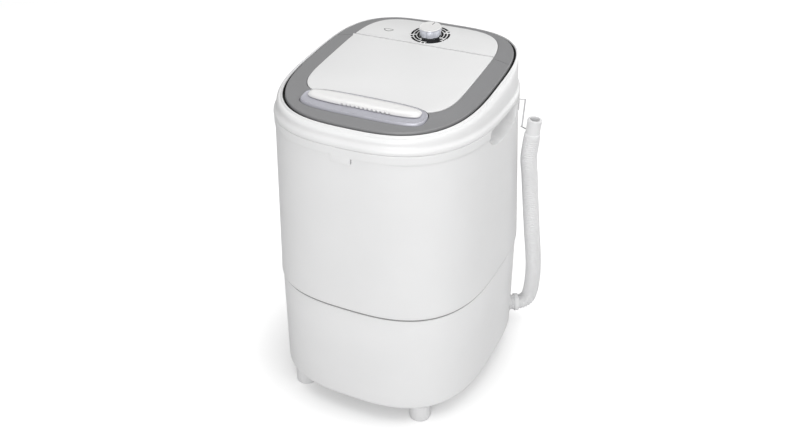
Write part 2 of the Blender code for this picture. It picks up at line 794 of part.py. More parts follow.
tab = block(
    "tab_block",
    (TAB_LEFT, -RIM_HALF_DEPTH + TAB_INSET, band_bottom - TAB_DROP),
    (TAB_RIGHT, -void_half_depth, band_bottom + RIM_ROUND * 2),
)
apply_boolean(upper_casing, tab, "UNION")

void_outline = even(void_half_width, void_half_depth, WALL_POWER)
casing_void = loft(
    "casing_void",
    [
        level(foot_plan(foot_void_inset), CASING_BOTTOM - OVERRUN),
        level(foot_plan(foot_void_inset), CASING_BOTTOM + CASING_TAPER_HEIGHT),
        level(void_outline, CASING_TOP - DECK_THICKNESS),
    ],
    None,
)


def pocket_ring(x, half_width, depth):
    flat = outline(half_width, depth, depth, POCKET_POWER, POCKET_POWER, POCKET_COUNT)
    return [(x, POCKET_Y + across, CASING_TOP + rise) for across, rise in flat]


for side, sign in (("left", -1), ("right", 1)):
    scoop = loft(
        "pocket_%s" % side,
        [
            pocket_ring(sign * POCKET_OUTER_X, POCKET_OUTER_HALF_WIDTH, POCKET_OUTER_DEPTH),
            pocket_ring(sign * POCKET_INNER_X, POCKET_INNER_HALF_WIDTH, POCKET_INNER_DEPTH),
        ],
        None,
    )
    shell = loft(
        "pocket_shell_%s" % side,
        [
            pocket_ring(sign * POCKET_OUTER_X, POCKET_OUTER_HALF_WIDTH + WALL, POCKET_OUTER_DEPTH + WALL),
            pocket_ring(sign * (POCKET_INNER_X - WALL), POCKET_INNER_HALF_WIDTH + WALL, POCKET_INNER_DEPTH + WALL),
        ],
        None,
    )
    apply_boolean(casing_void, shell)
    apply_boolean(upper_casing, scoop)
apply_boolean(upper_casing, casing_void)
mouth = cylinder(
    "casing_mouth",
    TUB_RADIUS + WALL + TUB_MOUTH_GAP,
    CASING_TOP - DECK_THICKNESS - OVERRUN,
    CASING_TOP + OVERRUN,
    place=place_at(0, TUB_Y),
    count=TUB_COUNT,
)
apply_boolean(upper_casing, mouth)
loom_hole = cylinder(
    "loom_hole",
    LOOM_HOLE_RADIUS,
    CASING_TOP - DECK_THICKNESS - OVERRUN,
    CASING_TOP + OVERRUN,
    place=place_at(0, LOOM_Y),
    count=SMALL_COUNT,
)
apply_boolean(upper_casing, loom_hole)


# Tub
tub_outer = TUB_RADIUS + WALL
outer_corner = [
    (tub_outer - inset, TUB_BOTTOM + rise) for inset, rise in reversed(corner_arc(TUB_CORNER, TUB_CORNER_STEPS))
]
inner_corner = [
    (TUB_RADIUS - inset, TUB_FLOOR + rise)
    for inset, rise in corner_arc(TUB_CORNER - TUB_FLOOR_THICKNESS, TUB_CORNER_STEPS)
]
tub_profile = [
    (TUB_FLANGE_RADIUS, TUB_TOP),
    (TUB_FLANGE_RADIUS, TUB_FLANGE_BOTTOM),
    (tub_outer, TUB_FLANGE_BOTTOM),
    *outer_corner,
    (TUB_HUB_BORE, TUB_BOTTOM),
    (TUB_HUB_BORE, TUB_FLOOR),
    *inner_corner,
    (TUB_RADIUS, TUB_TOP),
]
wash_tub = turned("wash_tub", tub_profile, "white", place=place_at(0, TUB_Y), count=TUB_COUNT, closed=True)
drain_hole = cylinder(
    "drain_hole",
    DRAIN_RADIUS,
    TUB_BOTTOM - OVERRUN,
    TUB_FLOOR + OVERRUN,
    place=place_at(DRAIN_X, DRAIN_Y),
    count=SMALL_COUNT,
)
apply_boolean(wash_tub, drain_hole)
for number in range(4):
    angle = pi / 4 + number * pi / 2
    x = TUB_SCREW_RADIUS * cos(angle)
    y = TUB_Y + TUB_SCREW_RADIUS * sin(angle)
    hole = cylinder(
        "tub_hole_%d" % (number + 1),
        SCREW_RADIUS + CLEARANCE,
        CASING_TOP - DECK_THICKNESS - OVERRUN,
        TUB_TOP + OVERRUN,
        place=place_at(x, y),
        count=SCREW_COUNT,
    )
    apply_boolean(wash_tub, hole)
    apply_boolean(upper_casing, hole)
    screw("tub_screw_%d" % (number + 1), TUB_TOP + CLEARANCE, -1, x, y)


def overflow_ring(angle):
    inner = TUB_RADIUS - CLEARANCE - OVERFLOW_WALL
    outer = TUB_RADIUS * cos(pi / TUB_COUNT) - CLEARANCE
    return [
        (radius * cos(angle), TUB_Y + radius * sin(angle), height)
        for radius, height in (
            (inner, OVERFLOW_BOTTOM),
            (outer, OVERFLOW_BOTTOM),
            (outer, OVERFLOW_TOP),
            (inner, OVERFLOW_TOP),
        )
    ]


overflow_angles = [
    COVER_ANGLE_START + (COVER_ANGLE_END - COVER_ANGLE_START) * index / OVERFLOW_STEPS
    for index in range(OVERFLOW_STEPS + 1)
]
overflow_cover = loft("overflow_cover", [overflow_ring(angle) for angle in overflow_angles], "white")
slot_turn = place_at(0, TUB_Y, 0, (COVER_ANGLE_START + COVER_ANGLE_END) / 2)
slot_half = TUB_RADIUS * (COVER_ANGLE_END - COVER_ANGLE_START) / 4
for number in range(OVERFLOW_SLOTS):
    height = OVERFLOW_BOTTOM + (OVERFLOW_TOP - OVERFLOW_BOTTOM) * (number + 1) / (OVERFLOW_SLOTS + 1)
    slot = block(
        "overflow_slot_%d" % (number + 1),
        (TUB_RADIUS / 2, -slot_half, height - OVERFLOW_SLOT_HEIGHT / 2),
        (TUB_RADIUS + OVERRUN, slot_half, height + OVERFLOW_SLOT_HEIGHT / 2),
        place=slot_turn,
    )
    apply_boolean(overflow_cover, slot)


# Collar
surround_shape = (SURROUND_HALF_DEPTH, SURROUND_HALF_DEPTH, SURROUND_FRONT_POWER, SURROUND_REAR_POWER)


def surround_outline(inset=0, stretch=1):
    width = SURROUND_HALF_WIDTH - inset
    depth = (SURROUND_HALF_DEPTH - inset) * stretch
    return outline(width, depth, depth, SURROUND_FRONT_POWER, SURROUND_REAR_POWER)


def mouth_outline(offset=0):
    return outline(
        MOUTH_HALF_WIDTH + offset,
        MOUTH_FRONT_DEPTH + offset,
        MOUTH_REAR_DEPTH + offset,
        2,
        MOUTH_REAR_POWER,
        centre_y=MOUTH_CENTRE_Y,
    )


def skirt_circle(radius, height):
    return level(outline(radius, radius, radius, 2, 2, centre_y=TUB_Y), height)


shoulder_ring = level(
    even(RIM_HALF_WIDTH, RIM_HALF_DEPTH, COLLAR_SHOULDER_POWER, COLLAR_SHOULDER_INSET), FLANGE_TOP
)
lip_ring = slanted(surround_outline(-COLLAR_LIP_WIDTH), -COLLAR_LIP_DROP)
collar_rings = [
    level(rim_edge_outline, COLLAR_BOTTOM),
    level(rim_outline, COLLAR_BOTTOM + RIM_ROUND),
    level(rim_outline, FLANGE_TOP - RIM_ROUND),
    level(rim_edge_outline, FLANGE_TOP),
    shoulder_ring,
]
for index in range(1, COLLAR_SHOULDER_STEPS + 1):
    angle = pi / 2 * index / COLLAR_SHOULDER_STEPS
    collar_rings.append(blend(shoulder_ring, lip_ring, 1 - cos(angle), sin(angle)))
skirt_inner = MOUTH_HALF_WIDTH
skirt_outer = MOUTH_HALF_WIDTH + WALL
collar_rings += [
    slanted(surround_outline(-COLLAR_LIP_CREST), -CLEARANCE),
    slanted(surround_outline(-SURROUND_GAP), -CLEARANCE * 2),
    slanted(surround_outline(-SURROUND_GAP), -COLLAR_SEAT_DROP),
    slanted(mouth_outline(), -COLLAR_SEAT_DROP),
    level(mouth_outline(), SKIRT_TURN_HEIGHT),
    skirt_circle(skirt_inner, SKIRT_RING_HEIGHT),
    skirt_circle(skirt_inner, CASING_TOP - SKIRT_DIP),
    skirt_circle(skirt_outer, CASING_TOP - SKIRT_DIP),
    skirt_circle(skirt_outer, SKIRT_RING_HEIGHT - WALL / 2),
    level(mouth_outline(WALL), SKIRT_TURN_HEIGHT - WALL / 2),
    slanted(mouth_outline(WALL), -COLLAR_SEAT_DROP - WALL),
    slanted(surround_outline(-COLLAR_LIP_WIDTH + WALL), -COLLAR_SEAT_DROP - WALL),
    level(
        even(RIM_HALF_WIDTH, RIM_HALF_DEPTH, COLLAR_SHOULDER_POWER, COLLAR_SHOULDER_INSET + WALL),
        FLANGE_TOP - WALL,
    ),
    level(even(RIM_HALF_WIDTH, RIM_HALF_DEPTH, RIM_POWER, COLLAR_SHOULDER_INSET + WALL), COLLAR_BOTTOM),
]
collar = loft("collar", collar_rings, "body", closed=True)
well_outline = even(WELL_HALF_WIDTH, WELL_HALF_DEPTH, WELL_POWER, centre_y=WELL_CENTRE_Y, count=ROUND_COUNT)
well = loft(
    "timer_well",
    [
        slanted(well_outline, -COLLAR_SEAT_DROP - WALL - OVERRUN),
        slanted(well_outline, OVERRUN),
    ],
    None,
)
apply_boolean(collar, well)


# Sloping top, built flat and carried by one tilted frame
top_place = Matrix.Translation((0, 0, TOP_HEIGHT)) @ Matrix.Rotation(TOP_TILT, 4, "X")
top_frame = add_empty("top_frame", top_place)
lid_axis = add_empty("lid_axis", Matrix.Translation((0, HINGE_Y, HINGE_HEIGHT)), top_frame)
timer_place = Matrix.Translation((0, TIMER_Y, 0))
timer_axis = add_empty("timer_axis", timer_place, top_frame)
from_lid_axis = Matrix.Translation((0, -HINGE_Y, -HINGE_HEIGHT))
from_timer_axis = Matrix.Translation((0, -TIMER_Y, 0))
slope_stretch = 1 / cos(TOP_TILT)


def window_outline(inset=0):
    return outline(
        WINDOW_HALF_WIDTH - inset,
        WINDOW_FRONT_DEPTH - inset,
        WINDOW_REAR_DEPTH - inset,
        WINDOW_FRONT_POWER,
        WINDOW_REAR_POWER,
    )


def surround_band(name, parent, place):
    rings = [
        level(surround_outline(0, slope_stretch), -SURROUND_SKIRT),
        level(surround_outline(0, slope_stretch), -SURROUND_EDGE),
        level(surround_outline(SURROUND_EDGE, slope_stretch), 0),
        level(window_outline(-SURROUND_MIDDLE_OFFSET), SURROUND_MIDDLE_HEIGHT),
        level(window_outline(-SURROUND_CREST_WIDTH), SURROUND_CREST),
        level(window_outline(-WINDOW_GAP), SURROUND_CREST - SURROUND_CREST_DROP),
        level(window_outline(-WINDOW_GAP), LEDGE_TOP),
        level(window_outline(LEDGE_WIDTH), LEDGE_TOP),
        level(window_outline(LEDGE_WIDTH), LEDGE_BOTTOM),
        level(window_outline(-SURROUND_WALL), LEDGE_BOTTOM),
        level(surround_outline(SURROUND_WALL, slope_stretch), -SURROUND_SKIRT),
    ]
    return loft(name, rings, "gray", parent, True, place)


def window_plate(name, parent, place):
    rings = [
        level(window_outline(WINDOW_GAP + WINDOW_EDGE * 4), WINDOW_TOP),
        level(window_outline(WINDOW_GAP + WINDOW_EDGE), WINDOW_TOP),
        level(window_outline(WINDOW_GAP), WINDOW_TOP - WINDOW_EDGE),
        level(window_outline(WINDOW_GAP), LEDGE_TOP + CLEARANCE),
        level(window_outline(WINDOW_GAP + WINDOW_RIM), LEDGE_TOP + CLEARANCE),
        level(window_outline(WINDOW_GAP + WINDOW_RIM), WINDOW_TOP - WINDOW_SKIN),
    ]
    return loft(name, rings, "white", parent, False, place)


reach_x = SURROUND_HALF_WIDTH + OVERRUN
reach_y = SURROUND_HALF_DEPTH + OVERRUN
below = -SURROUND_SKIRT - OVERRUN
above = WINDOW_TOP + OVERRUN
along_x = Matrix.Rotation(pi / 2, 4, "Y")

lid_frame = surround_band("lid_frame", lid_axis, from_lid_axis)
frame_trim = block(
    "lid_frame_trim",
    (-reach_x, HINGE_Y - NOSE_RADIUS - LID_BACK_GAP, below),
    (reach_x, reach_y, above),
    parent=top_frame,
)
apply_boolean(lid_frame, frame_trim)

control_panel_bezel = surround_band("control_panel_bezel", top_frame, Matrix.Identity(4))
bezel_trim = block("bezel_trim", (-reach_x, -reach_y, below), (reach_x, HINGE_Y - EAR_REACH, above), parent=top_frame)
apply_boolean(control_panel_bezel, bezel_trim)
nose_room = block(
    "nose_room",
    (-NOSE_HALF_LENGTH - RUNNING_GAP, HINGE_Y - NOSE_RADIUS * 2, below),
    (NOSE_HALF_LENGTH + RUNNING_GAP, HINGE_Y + NOSE_RADIUS + PLATE_FRONT_GAP, above),
    parent=top_frame,
)
apply_boolean(control_panel_bezel, nose_room)
pin_bore = cylinder(
    "pin_bore",
    PIN_RADIUS + CLEARANCE,
    -PIN_OUTER_X - CLEARANCE,
    PIN_OUTER_X + CLEARANCE,
    top_frame,
    Matrix.Translation((0, HINGE_Y, HINGE_HEIGHT)) @ along_x,
    SMALL_COUNT,
)
apply_boolean(control_panel_bezel, pin_bore)

lid_panel = window_plate("lid_panel", lid_axis, from_lid_axis)
panel_trim = block("lid_panel_trim", (-reach_x, HINGE_Y, below), (reach_x, reach_y, above), parent=top_frame)
apply_boolean(lid_panel, panel_trim)
nose = cylinder("lid_nose", NOSE_RADIUS, -NOSE_HALF_LENGTH, NOSE_HALF_LENGTH, lid_axis, along_x, NOSE_COUNT)
apply_boolean(lid_panel, nose, "UNION")
for side, sign in (("left", -1), ("right", 1)):
    ends = sorted((sign * (PIN_INNER_X - CLEARANCE), sign * (NOSE_HALF_LENGTH + OVERRUN)))
    bore = cylinder("nose_bore_%s" % side, PIN_RADIUS + CLEARANCE, *ends, lid_axis, along_x, SMALL_COUNT)
    apply_boolean(lid_panel, bore)
    ends = sorted((sign * PIN_INNER_X, sign * PIN_OUTER_X))
    pin_profile = ((0, ends[1]), (PIN_RADIUS, ends[1]), (PIN_RADIUS, ends[0]), (0, ends[0]))
    turned("lid_hinge_pin_%s" % side, pin_profile, "steel", lid_axis, along_x, SMALL_COUNT)

control_panel_plate = window_plate("control_panel_plate", top_frame, Matrix.Identity(4))
plate_front = HINGE_Y + NOSE_RADIUS + PLATE_FRONT_GAP
plate_trim = block("plate_trim", (-reach_x, -reach_y, below), (reach_x, plate_front, above), parent=top_frame)
apply_boolean(control_panel_plate, plate_trim)
plate_bar = block(
    "plate_front_bar",
    (-PIN_INNER_X, plate_front, LEDGE_TOP + CLEARANCE),
    (PIN_INNER_X, plate_front + WINDOW_RIM, WINDOW_TOP - WINDOW_EDGE),
    parent=top_frame,
)
apply_boolean(control_panel_plate, plate_bar, "UNION")
plate_hole = cylinder(
    "plate_hole", TIMER_SHAFT_RADIUS + CLEARANCE * 4, below, above, timer_axis, count=SMALL_COUNT
)
apply_boolean(control_panel_plate, plate_hole)


# Lid handle, its rings follow the slope of the surround
def handle_level(points, height):
    return [(x, y, height + HANDLE_SLOPE_SHARE * (y - HANDLE_Y)) for x, y in points]


def handle_outline(inset):
    return even(HANDLE_HALF_LENGTH, HANDLE_HALF_WIDTH, HANDLE_POWER, inset, count=HANDLE_COUNT, centre_y=HANDLE_Y)


handle_pocket = loft(
    "handle_pocket",
    [
        level(handle_outline(-CLEARANCE), HANDLE_BOTTOM - CLEARANCE),
        level(handle_outline(-CLEARANCE), above),
    ],
    None,
    top_frame,
)
apply_boolean(lid_frame, handle_pocket)
apply_boolean(lid_panel, handle_pocket)
dish_inset = HANDLE_RIM_WIDTH + HANDLE_DISH_RUN
handle_rings = [
    level(handle_outline(0), HANDLE_BOTTOM),
    handle_level(handle_outline(0), HANDLE_RIM - HANDLE_EDGE),
    handle_level(handle_outline(HANDLE_EDGE), HANDLE_RIM),
    handle_level(handle_outline(HANDLE_RIM_WIDTH), HANDLE_RIM),
    handle_level(handle_outline(dish_inset), HANDLE_RIM - HANDLE_DISH_DEPTH),
]
lid_handle_base = loft("lid_handle_base", handle_rings, "silver", lid_axis, False, from_lid_axis)


def grip_outline(half_length, half_width, offset=0):
    return outline(half_length, half_width, half_width, GRIP_POWER, GRIP_POWER, HANDLE_COUNT, GRIP_Y + offset)


stem = grip_outline(GRIP_STEM_HALF_LENGTH, GRIP_STEM_HALF_WIDTH, GRIP_STEM_OFFSET)
grip_bottom = HANDLE_RIM - HANDLE_DISH_DEPTH + CLEARANCE
grip_rings = [
    handle_level(stem, grip_bottom),
    handle_level(stem, GRIP_UNDERSIDE),
    handle_level(grip_outline(GRIP_HALF_LENGTH - GRIP_ROUND, GRIP_HALF_WIDTH - GRIP_ROUND), GRIP_UNDERSIDE),
    handle_level(grip_outline(GRIP_HALF_LENGTH, GRIP_HALF_WIDTH), GRIP_UNDERSIDE + GRIP_ROUND),
    handle_level(grip_outline(GRIP_HALF_LENGTH, GRIP_HALF_WIDTH), GRIP_TOP - GRIP_ROUND),
    handle_level(
        grip_outline(GRIP_HALF_LENGTH - GRIP_ROUND, GRIP_HALF_WIDTH - GRIP_ROUND), GRIP_TOP - GRIP_ROUND / 4
    ),
    handle_level(grip_outline(GRIP_HALF_LENGTH - GRIP_ROUND * 3, GRIP_HALF_WIDTH - GRIP_ROUND * 3), GRIP_TOP),
]
lid_handle_grip = loft("lid_handle_grip", grip_rings, "pearl", lid_axis, False, from_lid_axis)
for number in range(NOTCH_COUNT):
    x = NOTCH_SHIFT + (number - (NOTCH_COUNT - 1) / 2) * NOTCH_PITCH
    notch = cylinder(
        "grip_notch_%d" % (number + 1),
        NOTCH_RADIUS,
        GRIP_UNDERSIDE - OVERRUN,
        GRIP_TOP + OVERRUN,
        top_frame,
        place_at(x, GRIP_Y - GRIP_HALF_WIDTH - NOTCH_RADIUS / 2),
        SCREW_COUNT,
    )
    apply_boolean(lid_handle_grip, notch)


# Timer, dial and knob
dial_profile = (
    (DIAL_RADIUS - CLEARANCE, DIAL_TOP),
    (DIAL_RADIUS, DIAL_TOP - CLEARANCE),
    (DIAL_RADIUS, DIAL_BOTTOM),
    (DIAL_BORE, DIAL_BOTTOM),
    (DIAL_BORE, DIAL_TOP),
)
turned("dial_ring", dial_profile, "black", top_frame, timer_place, 24, True)


def knob_ring(radius, flute, height, count=KNOB_FLUTES * 4):
    ring = []
    for index in range(count):
        angle = tau * index / count
        reach = radius + flute * cos(KNOB_FLUTES * angle)
        ring.append((reach * cos(angle), reach * sin(angle), height))
    return ring


knob_bottom = DIAL_TOP + CLEARANCE
knob_rings = [
    knob_ring(KNOB_SKIRT_RADIUS, KNOB_FLUTE, knob_bottom),
    knob_ring(KNOB_SKIRT_RADIUS, KNOB_FLUTE, KNOB_CAP_BOTTOM),
    knob_ring(KNOB_CAP_RADIUS, 0, KNOB_CAP_BOTTOM + KNOB_EDGE / 2),
    knob_ring(KNOB_CAP_RADIUS, 0, KNOB_TOP - KNOB_EDGE),
    knob_ring(KNOB_CAP_RADIUS - KNOB_EDGE, 0, KNOB_TOP),
]
timer_knob = loft("timer_knob", knob_rings, "pearl", timer_axis)
knob_mark = block(
    "knob_mark",
    (-KNOB_MARK_WIDTH / 2, KNOB_MARK_INNER, KNOB_TOP - KNOB_MARK_DEPTH),
    (KNOB_MARK_WIDTH / 2, KNOB_CAP_RADIUS - KNOB_EDGE * 2, KNOB_TOP + OVERRUN),
    parent=timer_axis,
    place=Matrix.Rotation(KNOB_MARK_TURN, 4, "Z"),
)
apply_boolean(timer_knob, knob_mark)
shaft_top = KNOB_TOP - TIMER_SHAFT_CAP
knob_bore = cylinder(
    "knob_bore", TIMER_SHAFT_RADIUS + CLEARANCE, below, shaft_top + CLEARANCE, timer_axis, count=SMALL_COUNT
)
apply_boolean(timer_knob, knob_bore)
shaft_bottom = -TIMER_SHAFT_DEPTH
timer_shaft_profile = (
    (0, shaft_top),
    (TIMER_SHAFT_RADIUS, shaft_top),
    (TIMER_SHAFT_RADIUS, shaft_bottom),
    (0, shaft_bottom),
)
turned("timer_shaft", timer_shaft_profile, "steel", timer_axis, count=SMALL_COUNT)
timer_top = WINDOW_TOP - WINDOW_SKIN - CLEARANCE
timer_bore = TIMER_SHAFT_RADIUS + CLEARANCE
timer_profile = (
    (0, shaft_bottom - CLEARANCE),
    (timer_bore, shaft_bottom - CLEARANCE),
    (timer_bore, timer_top),
    (TIMER_RADIUS, timer_top),
    (TIMER_RADIUS, timer_top - TIMER_HEIGHT),
    (0, timer_top - TIMER_HEIGHT),
)
turned("timer_body", timer_profile, "dark", top_frame, timer_place)


# Pulsator group on the tub's axis
pulsator_axis = add_empty("pulsator_axis", place_at(0, TUB_Y))
shaft_bore = SHAFT_RADIUS + CLEARANCE
hub_top = PULSATOR_BOTTOM + PULSATOR_HUB_HEIGHT
pulsator_profile = (
    (SCREW_RADIUS + CLEARANCE, hub_top),
    (PULSATOR_HUB_RADIUS - PULSATOR_DISC / 2, hub_top),
    (PULSATOR_HUB_RADIUS, hub_top - PULSATOR_DISC),
    (PULSATOR_HUB_RADIUS * 2, PULSATOR_BOTTOM + PULSATOR_DISC),
    (PULSATOR_RADIUS - PULSATOR_DISC / 2, PULSATOR_BOTTOM + PULSATOR_DISC * 0.8),
    (PULSATOR_RADIUS, PULSATOR_BOTTOM + PULSATOR_DISC / 3),
    (PULSATOR_RADIUS, PULSATOR_BOTTOM),
    (shaft_bore, PULSATOR_BOTTOM),
    (shaft_bore, SHAFT_TOP + CLEARANCE),
    (SCREW_RADIUS + CLEARANCE, SHAFT_TOP + CLEARANCE),
)
pulsator = turned("pulsator", pulsator_profile, "silver", pulsator_axis, count=24, closed=True)
for number in range(PULSATOR_FINS):
    turn = Matrix.Rotation(pi * number / PULSATOR_FINS + pi / 7, 4, "Z")
    for side, sign in (("a", -1), ("b", 1)):
        ends = sorted((sign * PULSATOR_HUB_RADIUS * 0.8, sign * PULSATOR_FIN_LENGTH / 2))
        fin = block(
            "pulsator_fin_%d%s" % (number + 1, side),
            (ends[0], -PULSATOR_FIN_WIDTH / 2, PULSATOR_BOTTOM + PULSATOR_DISC / 2),
            (ends[1], PULSATOR_FIN_WIDTH / 2, PULSATOR_BOTTOM + PULSATOR_FIN_HEIGHT),
            parent=pulsator_axis,
            place=turn,
        )
        apply_boolean(pulsator, fin, "UNION")
screw_depth = SCREW_REACH * 1.5
screw(
    "pulsator_screw", hub_top + CLEARANCE, -1, 0, 0, pulsator_axis, hub_top + CLEARANCE - SHAFT_TOP + screw_depth
)
shaft_profile = (
    (0, SHAFT_TOP - screw_depth - CLEARANCE),
    (SCREW_RADIUS + CLEARANCE, SHAFT_TOP - screw_depth - CLEARANCE),
    (SCREW_RADIUS + CLEARANCE, SHAFT_TOP),
    (SHAFT_RADIUS, SHAFT_TOP),
    (SHAFT_RADIUS, SHAFT_BOTTOM),
    (0, SHAFT_BOTTOM),
)
turned("pulsator_shaft", shaft_profile, "steel", pulsator_axis, count=SMALL_COUNT)

housing_top = TUB_BOTTOM - CLEARANCE
bearing_bore = BEARING_RADIUS + CLEARANCE
housing_profile = (
    (bearing_bore, housing_top),
    (HOUSING_FLANGE_RADIUS, housing_top),
    (HOUSING_FLANGE_RADIUS, housing_top - HOUSING_FLANGE),
    (HOUSING_RADIUS, housing_top - HOUSING_FLANGE),
    (HOUSING_RADIUS, HOUSING_BOTTOM),
    (bearing_bore, HOUSING_BOTTOM),
)
turned("bearing_housing", housing_profile, "motor", place=place_at(0, TUB_Y), closed=True)
for name, low, height, look in (
    ("lower_bearing", LOWER_BEARING_BOTTOM, BEARING_HEIGHT, "steel"),
    ("upper_bearing", UPPER_BEARING_BOTTOM, BEARING_HEIGHT, "steel"),
    ("shaft_seal", SEAL_BOTTOM, SEAL_HEIGHT, "dark"),
):
    ring_profile = (
        (shaft_bore, low + height),
        (BEARING_RADIUS, low + height),
        (BEARING_RADIUS, low),
        (shaft_bore, low),
    )
    turned(name, ring_profile, look, place=place_at(0, TUB_Y), count=16, closed=True)

groove_low = PULLEY_MIDDLE - GROOVE_FLOOR_HEIGHT / 2
groove_high = PULLEY_MIDDLE + GROOVE_FLOOR_HEIGHT / 2
web_low = PULLEY_MIDDLE - WEB_THICKNESS / 2
web_high = PULLEY_MIDDLE + WEB_THICKNESS / 2
big_inner = BIG_PULLEY_RADIUS - BIG_PULLEY_RIM
big_profile = (
    (shaft_bore, PULLEY_TOP),
    (HUB_RADIUS, PULLEY_TOP),
    (HUB_RADIUS, web_high),
    (big_inner, web_high),
    (big_inner, PULLEY_TOP),
    (BIG_PULLEY_RADIUS, PULLEY_TOP),
    (BIG_GROOVE_RADIUS, groove_high),
    (BIG_GROOVE_RADIUS, groove_low),
    (BIG_PULLEY_RADIUS, PULLEY_BOTTOM),
    (big_inner, PULLEY_BOTTOM),
    (big_inner, web_low),
    (HUB_RADIUS, web_low),
    (HUB_RADIUS, PULLEY_BOTTOM),
    (shaft_bore, PULLEY_BOTTOM),
)
turned("pulsator_pulley", big_profile, "white", pulsator_axis, count=20, closed=True)


def nut(name, parent, bore, low):
    profile = ((bore, low + NUT_HEIGHT), (NUT_RADIUS, low + NUT_HEIGHT), (NUT_RADIUS, low), (bore, low))
    return turned(name, profile, "steel", parent, count=6, closed=True)


nut_bore_share = 1 / cos(pi / 6)
nut("pulsator_pulley_nut", pulsator_axis, shaft_bore * nut_bore_share, PULLEY_BOTTOM - CLEARANCE - NUT_HEIGHT)


# Motor group
motor_axis = add_empty("motor_axis", place_at(MOTOR_X, MOTOR_Y))
motor_top = MOTOR_BOTTOM + MOTOR_HEIGHT
motor_bore = MOTOR_SHAFT_RADIUS + CLEARANCE
neck_top = motor_top + MOTOR_NECK_HEIGHT
motor_profile = (
    (0, neck_top - MOTOR_SHAFT_DEPTH),
    (motor_bore, neck_top - MOTOR_SHAFT_DEPTH),
    (motor_bore, neck_top),
    (MOTOR_NECK_RADIUS, neck_top),
    (MOTOR_NECK_RADIUS, motor_top),
    (MOTOR_RADIUS - MOTOR_EDGE, motor_top),
    (MOTOR_RADIUS, motor_top - MOTOR_EDGE),
    (MOTOR_RADIUS, MOTOR_BOTTOM + MOTOR_EDGE),
    (MOTOR_RADIUS - MOTOR_EDGE, MOTOR_BOTTOM),
    (0, MOTOR_BOTTOM),
)
motor_body = turned("motor_body", motor_profile, "motor", place=place_at(MOTOR_X, MOTOR_Y), count=20)
motor_shaft_bottom = neck_top - MOTOR_SHAFT_DEPTH + CLEARANCE
motor_shaft_profile = (
    (0, MOTOR_SHAFT_TOP),
    (MOTOR_SHAFT_RADIUS, MOTOR_SHAFT_TOP),
    (MOTOR_SHAFT_RADIUS, motor_shaft_bottom),
    (0, motor_shaft_bottom),
)
turned("motor_shaft", motor_shaft_profile, "steel", motor_axis, count=SMALL_COUNT)
small_profile = (
    (motor_bore, PULLEY_TOP),
    (SMALL_PULLEY_RADIUS, PULLEY_TOP),
    (SMALL_GROOVE_RADIUS, groove_high),
    (SMALL_GROOVE_RADIUS, groove_low),
    (SMALL_PULLEY_RADIUS, PULLEY_BOTTOM),
    (motor_bore, PULLEY_BOTTOM),
)
turned("motor_pulley", small_profile, "white", motor_axis, count=ROUND_COUNT, closed=True)
nut("motor_pulley_nut", motor_axis, motor_bore * nut_bore_share, PULLEY_TOP + CLEARANCE)

bracket_top = MOTOR_BOTTOM - CLEARANCE
bracket_foot = COVER_TOP + CLEARANCE
bracket_inner = BRACKET_HALF_WIDTH - BRACKET_THICKNESS
bracket_profile = (
    (-BRACKET_HALF_WIDTH, bracket_foot),
    (-bracket_inner, bracket_foot),
    (-bracket_inner, bracket_top - BRACKET_THICKNESS),
    (bracket_inner, bracket_top - BRACKET_THICKNESS),
    (bracket_inner, bracket_foot),
    (BRACKET_HALF_WIDTH, bracket_foot),
    (BRACKET_HALF_WIDTH, bracket_top),
    (-BRACKET_HALF_WIDTH, bracket_top),
)
motor_bracket = loft(
    "motor_bracket",
    [
        [(x, -BRACKET_HALF_DEPTH, z) for x, z in bracket_profile],
        [(x, BRACKET_HALF_DEPTH, z) for x, z in bracket_profile],
    ],
    "steel",
    place=place_at(MOTOR_X, MOTOR_Y),
)
for number in range(4):
    angle = pi / 4 + number * pi / 2
    x = MOTOR_X + BOLT_CIRCLE * cos(angle)
    y = MOTOR_Y + BOLT_CIRCLE * sin(angle)
    bolt_seat = bracket_top - BRACKET_THICKNESS - CLEARANCE
    hole = cylinder(
        "motor_hole_%d" % (number + 1),
        SCREW_RADIUS + CLEARANCE,
        bolt_seat - OVERRUN,
        MOTOR_BOTTOM + BOLT_DEPTH,
        place=place_at(x, y),
        count=SCREW_COUNT,
    )
    apply_boolean(motor_bracket, hole)
    apply_boolean(motor_body, hole)
    reach = MOTOR_BOTTOM + BOLT_DEPTH - CLEARANCE - bolt_seat
    screw("motor_bolt_%d" % (number + 1), bolt_seat, 1, x, y, reach=reach)


# Belt round both pulleys
def belt_outline(growth):
    start = Vector((0, TUB_Y))
    end = Vector((MOTOR_X, MOTOR_Y))
    gap = end - start
    heading = atan2(gap.y, gap.x)
    big = BIG_GROOVE_RADIUS + BELT_LIFT + growth
    small = SMALL_GROOVE_RADIUS + BELT_LIFT + growth
    lean = acos((big - small) / gap.length)
    points = []
    for centre, radius, first, last, steps in (
        (start, big, lean, tau - lean, 18),
        (end, small, -lean, lean, 8),
    ):
        for index in range(steps + 1):
            angle = heading + first + (last - first) * index / steps
            points.append((centre.x + radius * cos(angle), centre.y + radius * sin(angle)))
    return points


belt_low = PULLEY_MIDDLE - BELT_HEIGHT / 2
belt_high = PULLEY_MIDDLE + BELT_HEIGHT / 2
belt_rings = [
    level(belt_outline(0), belt_low),
    level(belt_outline(BELT_THICKNESS), belt_low),
    level(belt_outline(BELT_THICKNESS), belt_high),
    level(belt_outline(0), belt_high),
]
loft("drive_belt", belt_rings, "dark", closed=True)


